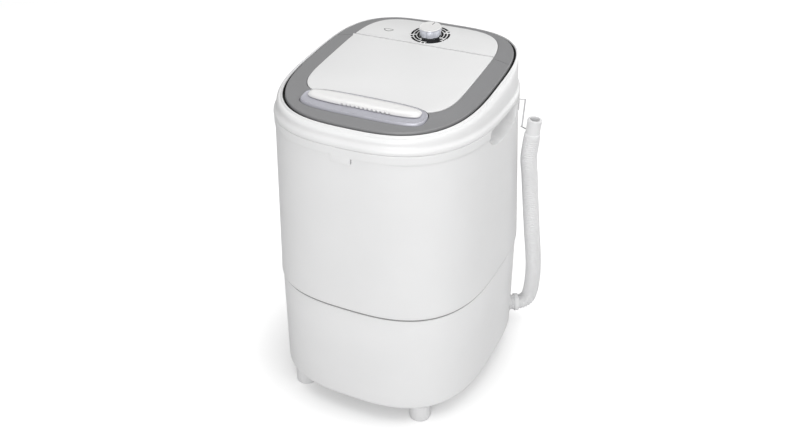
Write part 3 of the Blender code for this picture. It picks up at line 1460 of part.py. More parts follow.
# Capacitor and clip
capacitor_top = bracket_foot + CAPACITOR_HEIGHT
capacitor_profile = (
    (0, capacitor_top),
    (CAPACITOR_RADIUS - CAPACITOR_EDGE, capacitor_top),
    (CAPACITOR_RADIUS, capacitor_top - CAPACITOR_EDGE),
    (CAPACITOR_RADIUS, bracket_foot),
    (0, bracket_foot),
)
capacitor_place = place_at(CAPACITOR_X, CAPACITOR_Y)
turned("capacitor", capacitor_profile, "white", place=capacitor_place)
clip_inner = CAPACITOR_RADIUS + CLEARANCE
clip_outer = clip_inner + CLIP_THICKNESS
clip_profile = (
    (clip_inner, CLIP_BOTTOM + CLIP_HEIGHT),
    (clip_outer, CLIP_BOTTOM + CLIP_HEIGHT),
    (clip_outer, CLIP_BOTTOM),
    (clip_inner, CLIP_BOTTOM),
)
capacitor_clip = turned("capacitor_clip", clip_profile, "steel", place=capacitor_place, closed=True)
clip_leg = block(
    "clip_leg",
    (clip_inner + CLIP_THICKNESS / 2, -CLIP_LEG_WIDTH / 2, bracket_foot),
    (clip_outer + CLIP_THICKNESS / 2, CLIP_LEG_WIDTH / 2, CLIP_BOTTOM + CLIP_HEIGHT / 2),
    place=capacitor_place,
)
apply_boolean(capacitor_clip, clip_leg, "UNION")


# Power inlet and loom
gland_profile = (
    (GLAND_BORE, GLAND_OUTWARD),
    (GLAND_NECK_RADIUS, GLAND_OUTWARD),
    (GLAND_NECK_RADIUS, GLAND_FLANGE + CLEARANCE),
    (GLAND_FLANGE_RADIUS, GLAND_FLANGE + CLEARANCE),
    (GLAND_FLANGE_RADIUS, CLEARANCE),
    (GLAND_RADIUS, CLEARANCE),
    (GLAND_RADIUS, -GLAND_INWARD),
    (GLAND_BORE, -GLAND_INWARD),
)
turned("cord_gland", gland_profile, "dark", place=gland_place, count=16, closed=True)

loom_start = Vector((0, TIMER_Y + TIMER_RADIUS + CLEARANCE, -LOOM_RADIUS * 3))
loom_turn = loom_start + Vector((0, LOOM_RADIUS * 3, 0))
motor_rear = MOTOR_Y + MOTOR_RADIUS + CLEARANCE
loom_route = (
    tuple(top_place @ loom_start),
    tuple(top_place @ loom_turn),
    (0, LOOM_Y, TUB_TOP + LOOM_RADIUS * 4),
    (0, LOOM_Y, TUB_TOP - LOOM_RADIUS * 4),
    (0, LOOM_BASE_Y, UPPER_BEARING_BOTTOM),
    (MOTOR_X / 2, LOOM_BASE_Y - LOOM_RADIUS * 4, PULLEY_TOP - LOOM_RADIUS * 6),
    (MOTOR_X, motor_rear + LOOM_RADIUS * 5, motor_top - LOOM_RADIUS * 9),
    (MOTOR_X, motor_rear, motor_top - LOOM_RADIUS * 9),
)
loom_mesh = tube_mesh("wiring_loom", route_samples(loom_route, LOOM_RADIUS * 6), LOOM_RADIUS, resolution=0)
add_object("wiring_loom", loom_mesh, "dark")


# Drain outlet, pipe, hose, cuff, clamp and hook
spigot_radius = HOSE_BORE * cos(pi / TUBE_COUNT) - CLEARANCE
outlet_profile = (
    (OUTLET_BORE, OUTLET_FLANGE + CLEARANCE + OUTLET_SPIGOT_LENGTH),
    (spigot_radius, OUTLET_FLANGE + CLEARANCE + OUTLET_SPIGOT_LENGTH),
    (spigot_radius, OUTLET_FLANGE + CLEARANCE),
    (OUTLET_FLANGE_RADIUS, OUTLET_FLANGE + CLEARANCE),
    (OUTLET_FLANGE_RADIUS, CLEARANCE),
    (OUTLET_RADIUS, CLEARANCE),
    (OUTLET_RADIUS, -OUTLET_INWARD),
    (OUTLET_BORE, -OUTLET_INWARD),
)
turned("drain_outlet", outlet_profile, "body", place=outlet_place, closed=True)

pipe_end = outlet_point - outward * (OUTLET_INWARD + CLEARANCE)
pipe_route = (
    (DRAIN_X, DRAIN_Y, TUB_BOTTOM - CLEARANCE),
    (DRAIN_X, DRAIN_Y, TUB_BOTTOM - PIPE_RADIUS * 3),
    (DRAIN_X + PIPE_RADIUS, DRAIN_Y + PIPE_RADIUS * 3, OUTLET_HEIGHT + PIPE_RADIUS * 6),
    tuple(pipe_end - outward * PIPE_RADIUS * 2),
    tuple(pipe_end),
)
pipe_mesh = tube_mesh("drain_pipe", route_samples(pipe_route, PIPE_RADIUS * 2), PIPE_RADIUS, resolution=1)
drain_pipe = add_object("drain_pipe", pipe_mesh, "hose")


def extended(route, growth):
    first = Vector(route[0]) - (Vector(route[1]) - Vector(route[0])).normalized() * growth
    last = Vector(route[-1]) + (Vector(route[-1]) - Vector(route[-2])).normalized() * growth
    return (tuple(first), *route[1:-1], tuple(last))


pipe_bore_mesh = tube_mesh("pipe_bore", route_samples(extended(pipe_route, OVERRUN), PIPE_RADIUS * 2), PIPE_BORE, resolution=1)
apply_boolean(drain_pipe, add_object("pipe_bore", pipe_bore_mesh, None))

# The route keeps with the outlet at its foot and with the hook at its top
hook_centre, hook_heading = wall_point(
    RIM_HALF_WIDTH - WALL_INSET, RIM_HALF_DEPTH - WALL_INSET, WALL_POWER, HOOK_TURN
)
hook_centre += hook_heading * HOOK_STANDOFF
foot_shift = outlet_point + outward * HOSE_STANDOFF - Vector(HOSE_ROUTE[0])
top_shift = hook_centre + Vector((*CUFF_FROM_HOOK, HOSE_ROUTE[-1][2])) - Vector(HOSE_ROUTE[-1])
hose_rise = HOSE_ROUTE[-1][2] - HOSE_ROUTE[0][2]
hose_route = []
for point in HOSE_ROUTE:
    rise_share = (point[2] - HOSE_ROUTE[0][2]) / hose_rise
    hose_route.append(tuple(Vector(point) + foot_shift.lerp(top_shift, rise_share)))
hose_points = route_samples(hose_route, HOSE_RIB_PITCH / 2)
hose_shares = [1 if index % 2 else HOSE_ROOT_SHARE for index in range(len(hose_points))]
drain_hose = add_object("drain_hose", tube_mesh("drain_hose", hose_points, HOSE_RADIUS, hose_shares), "hose")
bore_points = route_samples(extended(hose_route, OVERRUN), HOSE_BORE_STEP)
apply_boolean(drain_hose, add_object("hose_bore", tube_mesh("hose_bore", bore_points, HOSE_BORE), None))

clamp_inner = HOSE_RADIUS + CLAMP_GAP
clamp_start = HOSE_STANDOFF + CLAMP_OFFSET
clamp_profile = (
    (clamp_inner, clamp_start + CLAMP_WIDTH),
    (clamp_inner + CLAMP_THICKNESS, clamp_start + CLAMP_WIDTH),
    (clamp_inner + CLAMP_THICKNESS, clamp_start),
    (clamp_inner, clamp_start),
)
turned("hose_clamp", clamp_profile, "steel", place=outlet_place, closed=True)

cuff_way = (Vector(hose_route[-1]) - Vector(hose_route[-2])).normalized()
cuff_place = Matrix.Translation(hose_route[-1]) @ cuff_way.to_track_quat("Z", "Y").to_matrix().to_4x4()
cuff_profile = (
    (CUFF_BORE - SPIGOT_GAP, CUFF_LENGTH),
    (CUFF_TOP_RADIUS, CUFF_LENGTH),
    (CUFF_RADIUS, CLEARANCE),
    (spigot_radius, CLEARANCE),
    (spigot_radius, -CUFF_SPIGOT),
    (CUFF_BORE - SPIGOT_GAP, -CUFF_SPIGOT),
)
turned("hose_cuff", cuff_profile, "hose", place=cuff_place, closed=True)

hook_side = Vector((-hook_heading.y, hook_heading.x, 0))
plate_outer = HOOK_THICKNESS - HOOK_PLATE_OFFSET
strap_inner = HOOK_REACH - HOOK_THICKNESS
foot_turn = HOOK_FOOT_START + HOOK_THICKNESS + CLEARANCE
hook_profile = (
    (-HOOK_PLATE_OFFSET, HOOK_PLATE_BOTTOM),
    (plate_outer, HOOK_PLATE_BOTTOM),
    (plate_outer, HOOK_TOP - HOOK_THICKNESS),
    (strap_inner, HOOK_TOP - HOOK_THICKNESS),
    (HOOK_FOOT_START, HOOK_FOOT_BOTTOM),
    (HOOK_FOOT_REACH, HOOK_FOOT_BOTTOM),
    (HOOK_FOOT_REACH, HOOK_FOOT_BOTTOM + HOOK_THICKNESS),
    (foot_turn, HOOK_FOOT_BOTTOM + HOOK_THICKNESS),
    (HOOK_REACH, HOOK_TOP),
    (-HOOK_PLATE_OFFSET, HOOK_TOP),
)
hook_rings = []
for sign in (-1, 1):
    ring = []
    for reach, height in hook_profile:
        point = hook_centre + hook_heading * reach + hook_side * sign * HOOK_HALF_WIDTH
        ring.append((point.x, point.y, height))
    hook_rings.append(ring)
loft("hose_hook", hook_rings, "hook")
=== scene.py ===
from math import cos, dist, exp, pi, radians, sin, tau

import bmesh
import bpy
from mathutils import Matrix, Vector


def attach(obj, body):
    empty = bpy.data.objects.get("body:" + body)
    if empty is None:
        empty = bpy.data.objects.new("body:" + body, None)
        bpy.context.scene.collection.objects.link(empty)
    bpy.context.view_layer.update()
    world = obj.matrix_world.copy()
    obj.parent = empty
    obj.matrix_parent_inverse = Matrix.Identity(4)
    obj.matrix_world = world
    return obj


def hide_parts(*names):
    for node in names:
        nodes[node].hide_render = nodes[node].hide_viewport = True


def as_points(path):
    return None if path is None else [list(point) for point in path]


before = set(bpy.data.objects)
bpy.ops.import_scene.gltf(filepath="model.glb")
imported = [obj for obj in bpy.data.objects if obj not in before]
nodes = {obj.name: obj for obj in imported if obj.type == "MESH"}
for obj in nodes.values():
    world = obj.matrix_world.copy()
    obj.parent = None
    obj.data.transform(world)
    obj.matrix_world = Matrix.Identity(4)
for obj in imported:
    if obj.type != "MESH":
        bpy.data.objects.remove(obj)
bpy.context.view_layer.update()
scene = bpy.context.scene
scene.view_settings.view_transform = "Standard"
print("frame loaded")


def placed(name, data):
    item = bpy.data.objects.new(name, data)
    scene.collection.objects.link(item)
    return item


# Camera, at the photograph's angle
cameraPlace = {
    "location": (0.6087, -1.2825, 1.1567), "azimuth": radians(25.39), "pitch": radians(31.596),
    "lens": 42.58, "sensor": 36, "nearest": 0.05,
}
cameraData = bpy.data.cameras.new("camera")
cameraData.lens = cameraPlace["lens"]
cameraData.sensor_width = cameraPlace["sensor"]
cameraData.clip_start = cameraPlace["nearest"]
camera = placed("camera", cameraData)
camera.location = cameraPlace["location"]
camera.rotation_euler = (pi / 2 - cameraPlace["pitch"], 0, cameraPlace["azimuth"])
scene.camera = camera


# Small helpers for building meshes
def linked(name, shape, material=None, replaced=(), body="housing", sharp=35):
    bmesh.ops.recalc_face_normals(shape, faces=shape.faces)
    mesh = bpy.data.meshes.new(name)
    shape.to_mesh(mesh)
    shape.free()
    piece = placed(name, mesh)
    if material:
        mesh.materials.append(material)
    mesh.shade_smooth()
    mesh.set_sharp_from_angle(angle=radians(sharp))
    if body:
        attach(piece, body)
    if replaced:
        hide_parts(*replaced)
    return piece


def outlinePoint(turn, halfWidth, frontDepth, rearDepth, frontPower, rearPower, centreY=0):
    across, along = cos(turn), sin(turn)
    power = rearPower if along > 0 else frontPower
    depth = rearDepth if along > 0 else frontDepth
    reach = (abs(across / halfWidth) ** power + abs(along / depth) ** power) ** (-1 / power)
    return reach * across, centreY + reach * along


def evenOutline(halfWidth, halfDepth, power, inset=0, centreY=0):
    width, depth = halfWidth - inset, halfDepth - inset
    return lambda turn: outlinePoint(turn, width, depth, depth, power, power, centreY)


def circleOutline(radius, centreY=0):
    return lambda turn: (radius * cos(turn), centreY + radius * sin(turn))


def levelRing(outline, height):
    return lambda turn: (*outline(turn), height)


def ringsOf(outlineAt, profile, start=0, kind=levelRing):
    # one ring for each inset and rise of a profile
    return [kind(outlineAt(inset), start + rise) for inset, rise in profile]


def between(first, second, share):
    return first + (second - first) * share


def clamped(value):
    return min(1, max(0, value))


def runningLengths(points):
    lengths = [0.0]
    for first, second in zip(points, points[1:]):
        lengths.append(lengths[-1] + dist(first, second))
    return lengths


def evenPlaces(lengths, count):
    # where equal steps fall along a line: the number of a part of it, and a share of that part
    places = []
    place = 0
    for index in range(count + 1):
        target = lengths[-1] * index / count
        while place < len(lengths) - 2 and lengths[place + 1] < target:
            place += 1
        places.append((place, (target - lengths[place]) / (lengths[place + 1] - lengths[place])))
    return places


def spacedTurns(bar, fineCount=4000):
    # angles that give equal steps along a long, thin outline
    width, power = bar["halfWidth"], bar["power"]
    fine = [tau * index / fineCount for index in range(fineCount + 1)]
    points = [outlinePoint(turn, bar["halfLength"], width, width, power, power) for turn in fine]
    places = evenPlaces(runningLengths(points), bar["count"])
    return [between(fine[place], fine[place + 1], share) for place, share in places[:-1]]


def ringShell(rings, turns, closed=False):
    # a circle whose rim is extruded from ring to ring, at a number of even turns or at a list of turns
    if isinstance(turns, int):
        turns = [tau * index / turns for index in range(turns)]
    shape = bmesh.new()
    turnLayer = shape.verts.layers.float.new("turn")
    bmesh.ops.create_circle(shape, segments=len(turns), radius=1)
    shape.verts.ensure_lookup_table()
    for vert, turn in zip(shape.verts, turns):
        vert[turnLayer] = turn
        vert.co = rings[0](turn)
    edges = list(shape.edges)
    if not closed:
        bmesh.ops.contextual_create(shape, geom=edges)
    sides = rings[1:] + rings[:1] if closed else rings[1:]
    for ring in sides:
        grown = bmesh.ops.extrude_edge_only(shape, edges=edges)["geom"]
        verts = [item for item in grown if isinstance(item, bmesh.types.BMVert)]
        fresh = set(verts)
        for vert in verts:
            vert.co = ring(vert[turnLayer])
        grownEdges = [item for item in grown if isinstance(item, bmesh.types.BMEdge)]
        edges = [edge for edge in grownEdges if fresh.issuperset(edge.verts)]
    if closed:
        bmesh.ops.remove_doubles(shape, verts=shape.verts, dist=1e-7)
    else:
        bmesh.ops.contextual_create(shape, geom=edges)
    return shape


def spun(shape, geometry, angle, steps, merged):
    bmesh.ops.spin(
        shape, geom=geometry, cent=(0, 0, 0), axis=(0, 0, 1), angle=angle, steps=steps, use_merge=merged
    )
    return shape


def turnedShape(profile, steps, closed=False):
    # a profile of (radius, height) spun about Z
    shape = bmesh.new()
    verts = [shape.verts.new((radius, 0, height)) for radius, height in profile]
    pairs = list(zip(verts, verts[1:]))
    if closed:
        pairs.append((verts[-1], verts[0]))
    edges = [shape.edges.new(pair) for pair in pairs]
    spun(shape, verts + edges, tau, steps, True)
    bmesh.ops.remove_doubles(shape, verts=shape.verts, dist=1e-7)
    return shape


def moved(shape, place):
    bmesh.ops.transform(shape, matrix=place, verts=shape.verts)
    return shape


def boxShape(low, high):
    shape = bmesh.new()
    bmesh.ops.create_cube(shape, size=1)
    size = Vector(high) - Vector(low)
    middle = (Vector(high) + Vector(low)) / 2
    return moved(shape, Matrix.Translation(middle) @ Matrix.Diagonal((*size, 1)))


def rodShape(radius, length, segments):
    shape = bmesh.new()
    ends = {"cap_ends": True, "radius1": radius, "radius2": radius}
    bmesh.ops.create_cone(shape, segments=segments, depth=length, **ends)
    return shape


def bevelled(shape, edges, width, segments):
    blend = {"profile": 0.5, "affect": "EDGES", "clamp_overlap": True, "material": -1}
    bmesh.ops.bevel(shape, geom=edges, offset=width, segments=segments, **blend)
    return shape


def rounded(piece, width, segments, angle=32):
    modifier = piece.modifiers.new("rounded edges", "BEVEL")
    modifier.width = width
    modifier.segments = segments
    modifier.limit_method = "ANGLE"
    modifier.angle_limit = radians(angle)
    modifier.profile = 0.5
    return piece


def joinedWith(piece, shapes, operation="DIFFERENCE"):
    # cut the shapes from the piece, or unite them with it
    tools = []
    for shape in shapes:
        tool = linked("tool", shape, body=None)
        tools.append(tool)
        modifier = piece.modifiers.new("cut", "BOOLEAN")
        modifier.object = tool
        modifier.operation = operation
        modifier.solver = "EXACT"
    graph = bpy.context.evaluated_depsgraph_get()
    mesh = bpy.data.meshes.new_from_object(piece.evaluated_get(graph))
    old = piece.data
    piece.modifiers.clear()
    piece.data = mesh
    bpy.data.meshes.remove(old)
    mesh.shade_smooth()
    mesh.set_sharp_from_angle(angle=radians(35))
    for tool in tools:
        bpy.data.objects.remove(tool)
    return piece


# Materials
def join(output, socket):
    socket.id_data.links.new(output, socket)


def setNode(node, values, links):
    for socket, value in values.items():
        node.inputs[socket].default_value = value
    for socket, output in links.items():
        join(output, node.inputs[socket])
    return node


def addNode(tree, kind, values={}, links={}):
    return setNode(tree.nodes.new("ShaderNode" + kind), values, links)


def newMaterial(name, colour, roughness, metallic=0.0, coat=0.0, specular=0.5):
    material = bpy.data.materials.new(name)
    material.use_nodes = True
    tree = material.node_tree
    gloss = {"Roughness": roughness, "Coat Weight": coat, "Specular IOR Level": specular}
    values = {"Base Color": (*colour, 1), "Metallic": metallic, **gloss}
    shader = setNode(tree.nodes["Principled BSDF"], values, {})
    return material, tree, shader, addNode(tree, "TexCoord").outputs["Object"]


def noiseNode(tree, vector, scale, detail, roughness=0.5):
    values = {"Scale": scale, "Detail": detail, "Roughness": roughness}
    return addNode(tree, "TexNoise", values, {"Vector": vector}).outputs["Fac"]


def spread(tree, value, low, high, fromLow=0.3, fromHigh=0.7):
    values = {"From Min": fromLow, "From Max": fromHigh, "To Min": low, "To Max": high}
    return addNode(tree, "MapRange", values, {"Value": value}).outputs["Result"]


def tint(tree, shader, value, first, second):
    # a noise runs the base colour from the first colour to the second
    mix = addNode(tree, "Mix")
    mix.data_type = "RGBA"
    setNode(mix, {6: (*first, 1), 7: (*second, 1)}, {0: spread(tree, value, 0, 1)})
    join(mix.outputs[2], shader.inputs["Base Color"])


def bumpFrom(tree, shader, height, strength, distance):
    bump = addNode(tree, "Bump", {"Strength": strength, "Distance": distance}, {"Height": height})
    join(bump.outputs["Normal"], shader.inputs["Normal"])


def mouldedPlastic(
    name, colour, roughness, mottle=0.04, grain=900.0, grainDepth=0.00002, cloud=9.0, patch=60.0, **finish
):
    # faint flow tones, a little change of gloss, and a fine moulded grain
    material, tree, shader, vector = newMaterial(name, colour, roughness, **finish)
    darker = tuple(value * (1 - mottle) for value in colour)
    lighter = tuple(min(1, value * (1 + mottle / 2)) for value in colour)
    tint(tree, shader, noiseNode(tree, vector, cloud, 4.0), darker, lighter)
    change = 0.1 if grainDepth else 0.02
    gloss = noiseNode(tree, vector, patch, 2.0)
    gloss = spread(tree, gloss, roughness * (1 - change), roughness * (1 + change))
    join(gloss, shader.inputs["Roughness"])
    if grainDepth:
        bumpFrom(tree, shader, noiseNode(tree, vector, grain, 2.0), 0.2, grainDepth)
    return material


def brushedMetal(name, colour, roughness, stretch=(60, 60, 900), dark=0.8, bright=0.75, dull=1.3):
    material, tree, shader, vector = newMaterial(name, colour, roughness, metallic=1.0)
    mapping = addNode(tree, "Mapping", {"Scale": stretch}, {"Vector": vector})
    lines = noiseNode(tree, mapping.outputs["Vector"], 1.0, 4.0, 0.6)
    tint(tree, shader, lines, tuple(value * dark for value in colour), colour)
    join(spread(tree, lines, roughness * bright, roughness * dull), shader.inputs["Roughness"])
    bumpFrom(tree, shader, lines, 0.3, 0.00003)
    return material


bodyPlastic = mouldedPlastic("white casing plastic", (0.8, 0.8, 0.802), 0.34, 0.02)
surroundPlastic = mouldedPlastic("gray lid surround", (0.235, 0.235, 0.24), 0.36, 0.01, grainDepth=0)
windowPlastic = mouldedPlastic("white lid panel", (0.77, 0.77, 0.77), 0.22, 0.01, 700.0, 0.00001)
tubPlastic = mouldedPlastic("tub plastic", (0.76, 0.77, 0.78), 0.38, 0.02, grainDepth=0)
silverPlastic = mouldedPlastic(
    "lilac silver paint", (0.5, 0.5, 0.55), 0.36, 0.01, grainDepth=0, metallic=0.3
)
knobSilver = mouldedPlastic(
    "knob silver paint", (0.74, 0.76, 0.83), 0.24, 0.02, grainDepth=0, coat=0.6, metallic=0.1
)
signGray = mouldedPlastic("gray panel print", (0.2, 0.2, 0.2), 0.5, 0.05)
markGray = mouldedPlastic("gray pointer", (0.1, 0.1, 0.1), 0.5, 0.1)
pearlPlastic = mouldedPlastic(
    "pearl white plastic", (0.8, 0.795, 0.79), 0.2, 0.02, 700.0, 0.00001, coat=0.4
)
# black print on the dial, also used for the knob's painted shadow
dialPlastic = mouldedPlastic("black dial print and painted shadow", (0.008, 0.008, 0.009), 0.55, 0.2, specular=0.15)
markPlastic = mouldedPlastic("white dial print", (0.8, 0.8, 0.8), 0.4)
footRubber = mouldedPlastic("pale foot rubber", (0.75, 0.75, 0.755), 0.62, 0.08, 500.0, 0.00005)
hosePlastic = mouldedPlastic("pale hose plastic", (0.775, 0.775, 0.78), 0.42, 0.05)
hookPlastic = mouldedPlastic("hose hook plastic", (0.8, 0.8, 0.805), 0.38)
darkPlastic = mouldedPlastic("dark plastic", (0.045, 0.045, 0.05), 0.5, 0.15)
darkRubber = mouldedPlastic("dark rubber", (0.03, 0.03, 0.032), 0.7, 0.2, 400.0, 0.00005)
# gray strip laid in the lower seam: painted shade
seamShadePaint = mouldedPlastic("gray painted seam shade", (0.3, 0.3, 0.3), 0.7, 0.1, grainDepth=0, specular=0.1)
# black strip in the lid's gap: painted shade
gapShadePaint = mouldedPlastic("black painted gap shade", (0.01, 0.01, 0.01), 0.8, 0.2, 400.0, 0.00005, specular=0.1)
pulleyPlastic = mouldedPlastic("pulley plastic", (0.72, 0.72, 0.7), 0.42)
zincSteel = brushedMetal("zinc plated steel", (0.56, 0.56, 0.57), 0.36)
castMetal = brushedMetal("cast motor metal", (0.34, 0.35, 0.37), 0.5, (300, 300, 300))
print("materials made")

# Sizes of the body, repeated from the part
body = {
    "halfWidth": 0.182, "halfDepth": 0.2055, "rimPower": 2.65,
    "rimEdge": ((0.001, 0), (0.0003, 0.0003), (0, 0.001)),
    "wallPower": 2.75, "wallInset": 0.003, "footHalfWidth": 0.187, "footHalfDepth": 0.2075,
    "baseHalfWidth": 0.183, "baseHalfDepth": 0.2035, "footPower": 2.85, "footRearPower": 3.6,
    "baseBottom": 0.0315, "baseTop": 0.225, "casingBottom": 0.2253, "casingTop": 0.519,
    "wall": 0.0025, "tubY": -0.018, "tubRadius": 0.1475, "count": 256,
}
tubPlace = Matrix.Translation((0, body["tubY"], 0))


def rimOutline(inset=0, power=body["rimPower"]):
    return evenOutline(body["halfWidth"], body["halfDepth"], power, inset)


def lowOutline(halfWidth, halfDepth, inset):
    # the body's lower part has squarer corners at the rear
    width, depth = halfWidth - inset, halfDepth - inset
    return lambda turn: outlinePoint(turn, width, depth, depth, body["footPower"], body["footRearPower"])


def baseOutline(inset):
    return lowOutline(body["baseHalfWidth"], body["baseHalfDepth"], inset)


def footOutline(inset):
    return lowOutline(body["footHalfWidth"], body["footHalfDepth"], inset)


def cornerArc(radius, steps):
    return [
        (radius * (1 - sin(pi / 2 * index / steps)), radius * (1 - cos(pi / 2 * index / steps)))
        for index in range(steps + 1)
    ]


# Base moulding, with the groove and the gray strip of the lower seam as inset and rise from its top; the
# strip is painted shade that darkens the seam
base = {
    "edge": 0.008, "edgeSteps": 6,
    "groove": ((0, -0.0046), (0.0002, -0.004), (0.0005, -0.0037), (0.001, -0.0036)),
    "seamShade": ((0.005, -0.0034), (0.005, 0.0001), (0.0056, 0.0001), (0.0056, -0.0034)),
    "lipHeight": 0.0085, "lipInset": 0.0058, "lipFoot": 2.5, "lipSlope": 3.5, "floor": 0.034,
    "access": (0.12, 0.135, 2.5),
}


def makeLowerCasing():
    bottom, top, wall, edge = body["baseBottom"], body["baseTop"], body["wall"], base["edge"]
    lip, lipTop, grooveTop = base["lipInset"], base["lipHeight"], base["groove"][-1][1]
    lipFoot, inner = -wall * base["lipFoot"], lip + wall
    lipProfile = ((lip, grooveTop), (lip, lipTop), (inner, lipTop), (inner, lipFoot))
    inside = ((wall, top - wall * base["lipSlope"]), (wall, bottom + edge), (edge, base["floor"]))
    access = evenOutline(*base["access"])
    rings = [
        *ringsOf(baseOutline, cornerArc(edge, base["edgeSteps"]), bottom),
        levelRing(baseOutline(0), bottom + edge * 2),
        levelRing(baseOutline(0), (bottom + top) / 2),
        *ringsOf(baseOutline, base["groove"], top),
        *ringsOf(footOutline, lipProfile, top),
        *ringsOf(baseOutline, inside),
        levelRing(access, base["floor"]),
        levelRing(access, bottom),
    ]
    shape = ringShell(rings, body["count"], closed=True)
    linked("base_casing", shape, bodyPlastic, ["lower_casing"])
    # a gray strip in the seam's groove, painted shade that darkens the seam line
    strip = ringShell(ringsOf(footOutline, base["seamShade"], top), body["count"], closed=True)
    linked("seam_shade_strip", strip, seamShadePaint)


# Hand-grip pockets, as half width, drop below the rim and distance from the middle plane
pocket = {
    "centreY": 0.019, "outer": (0.075, 0.042, 0.19), "inner": (0.071, 0.035, 0.157),
    "middle": 0.01, "upward": 2.2, "power": 2.4, "backSoftness": 0.004, "edgeSoftness": 0.0014,
    "widest": 0.12, "deepest": 0.12, "lowest": 0.075,
}


def pocketDepth(y, height, grow):
    # how far out the pocket's surface lies from the middle plane, at a place on the wall
    across = abs(y - pocket["centreY"])
    drop = body["casingTop"] - height
    middle = pocket["middle"]
    outerWidth, outerDrop, outerX = pocket["outer"]
    innerWidth, innerDrop, innerX = pocket["inner"]

    def size(share):
        width = between(outerWidth, innerWidth, share) + grow
        depth = between(outerDrop, innerDrop, share) + grow
        away = (drop - middle) / (depth - middle)
        if drop < middle:
            away = (middle - drop) / (middle * pocket["upward"])
        return (across / width) ** pocket["power"] + abs(away) ** pocket["power"]

    low, high = -1.5, 1.0
    if size(low) >= 1:
        return 1.0
    if size(high) <= 1:
        return innerX - grow
    for _ in range(24):
        half = (low + high) / 2
        if size(half) < 1:
            low = half
        else:
            high = half
    return between(outerX, innerX, low) - grow


def softSmaller(first, second, softness):
    share = clamped(0.5 + 0.5 * (second - first) / softness)
    return between(second, first, share) - softness * share * (1 - share)


def pocketed(outline, height, grow=0.0):
    def ring(turn):
        x, y = outline(turn)
        inHeight = body["casingTop"] - height < pocket["lowest"]
        if inHeight and abs(y - pocket["centreY"]) < pocket["widest"] and abs(x) > pocket["deepest"]:
            # the back of the pocket meets its slope in a curve
            depth = pocketDepth(y, height, grow)
            depth = -softSmaller(-depth, -(pocket["inner"][2] - grow), pocket["backSoftness"])
            reach = softSmaller(abs(x), depth, pocket["edgeSoftness"])
            x = reach if x > 0 else -reach
        return x, y, height

    return ring


# Main wall with its rim band, and the tab below the band's front
casing = {
    "foot": ((0.0032, 0), (0.0027, 0.0004), (0.0024, 0.0014), (0.0022, 0.0035), (0.0023, 0.008)),
    "footHeight": 0.025, "plainRises": (0.12, 0.21), "pocketRise": 0.225, "pocketRings": 22,
    "bandHeight": 0.0152, "bandRings": 5, "insideDrop": 0.075, "insideRings": 11,
    "lipGap": 0.0003, "mouthGap": 0.0015, "count": 480,
}
tab = {
    "left": -0.018, "right": 0.0155, "drop": 0.0105, "depth": 0.0052, "rise": 0.002,
    "edge": 0.0008, "slot": 0.0012, "slotDepth": 0.0085, "line": 0.0009, "lineDepth": 0.0011,
    "lineLow": 0.0002, "lineHigh": 0.005, "clear": 0.002,
}


def makeUpperCasing():
    bottom, top, wall = body["casingBottom"], body["casingTop"], body["wall"]
    bandBottom, footTop = top - casing["bandHeight"], bottom + casing["footHeight"]
    inside = base["lipInset"] - casing["lipGap"]

    def wallOutline(height, inset=body["wallInset"]):
        upper, lower = rimOutline(inset, body["wallPower"]), footOutline(inset)
        share = clamped((height - footTop) / (bandBottom - footTop))

        def outline(turn):
            (x0, y0), (x1, y1) = lower(turn), upper(turn)
            return between(x0, x1, share), between(y0, y1, share)

        return outline

    mouth = circleOutline(body["tubRadius"] + wall + casing["mouthGap"], body["tubY"])
    rings = ringsOf(footOutline, casing["foot"], bottom)
    for height in (footTop, *(bottom + rise for rise in casing["plainRises"])):
        rings.append(levelRing(wallOutline(height), height))
    edge = body["rimEdge"][-1][1]
    lowest, count = bottom + casing["pocketRise"], casing["pocketRings"]
    for index in range(count + 1):
        height = lowest + (bandBottom - edge - lowest) * index / count
        rings.append(pocketed(wallOutline(height), height))
    rings += ringsOf(rimOutline, body["rimEdge"], bandBottom, pocketed)
    for index in range(1, casing["bandRings"] + 1):
        height = bandBottom + edge + (top - edge * 2 - bandBottom) * index / casing["bandRings"]
        rings.append(pocketed(rimOutline(), height))
    rings += [pocketed(rimOutline(inset), top - rise) for inset, rise in reversed(body["rimEdge"][:2])]
    rings += [levelRing(mouth, top), levelRing(mouth, top - wall)]
    for index in range(casing["insideRings"] + 1):
        height = top - wall - casing["insideDrop"] * index / casing["insideRings"]
        rings.append(pocketed(wallOutline(height, inside), height, wall))
    rings += [levelRing(wallOutline(footTop, inside), height) for height in (footTop, bottom)]
    shape = ringShell(rings, casing["count"], closed=True)
    piece = linked("main_casing", shape, bodyPlastic, ["upper_casing"])
    front, low, slot = -body["halfDepth"], bandBottom - tab["drop"], tab["slot"]
    plate = boxShape(
        (tab["left"], front, low), (tab["right"], front + tab["depth"], bandBottom + tab["rise"])
    )
    joinedWith(piece, [bevelled(plate, plate.edges, tab["edge"], 3)], "UNION")
    slotRoom = boxShape(
        (tab["right"], front - tab["clear"], low + slot),
        (tab["right"] + slot, front + tab["slotDepth"], bandBottom - slot),
    )
    lineRoom = boxShape(
        (tab["left"] - tab["line"], front - tab["clear"], low + tab["lineLow"]),
        (tab["left"], front + tab["lineDepth"], bandBottom + tab["lineHigh"]),
    )
    joinedWith(piece, [slotRoom, lineRoom])


makeLowerCasing()
makeUpperCasing()
print("casings made")

# Sloping top: a frame whose origin is on the middle of the slope
slope = {"height": 0.5629, "tilt": radians(5.6)}
topPlace = Matrix.Translation((0, 0, slope["height"])) @ Matrix.Rotation(slope["tilt"], 4, "X")
hinge = {
    "y": 0.0814, "height": 0.0049, "lidGap": 0.0034, "panelGap": 0.0026, "plateGap": 0.0038,
    "pinRadius": 0.0012, "pinLength": 0.2642, "boreX": 0.1247, "boreLength": 0.011,
    "noseRadius": 0.003, "noseLength": 0.2524, "roomX": 0.1266, "roomFront": 0.006,
    "roomHeights": (-0.0075, 0.012),
}
timer = {"y": 0.1216, "holeRadius": 0.0042, "holeLength": 0.02, "holeHeight": 0.005}


def onTop(shape):
    return moved(shape, topPlace)


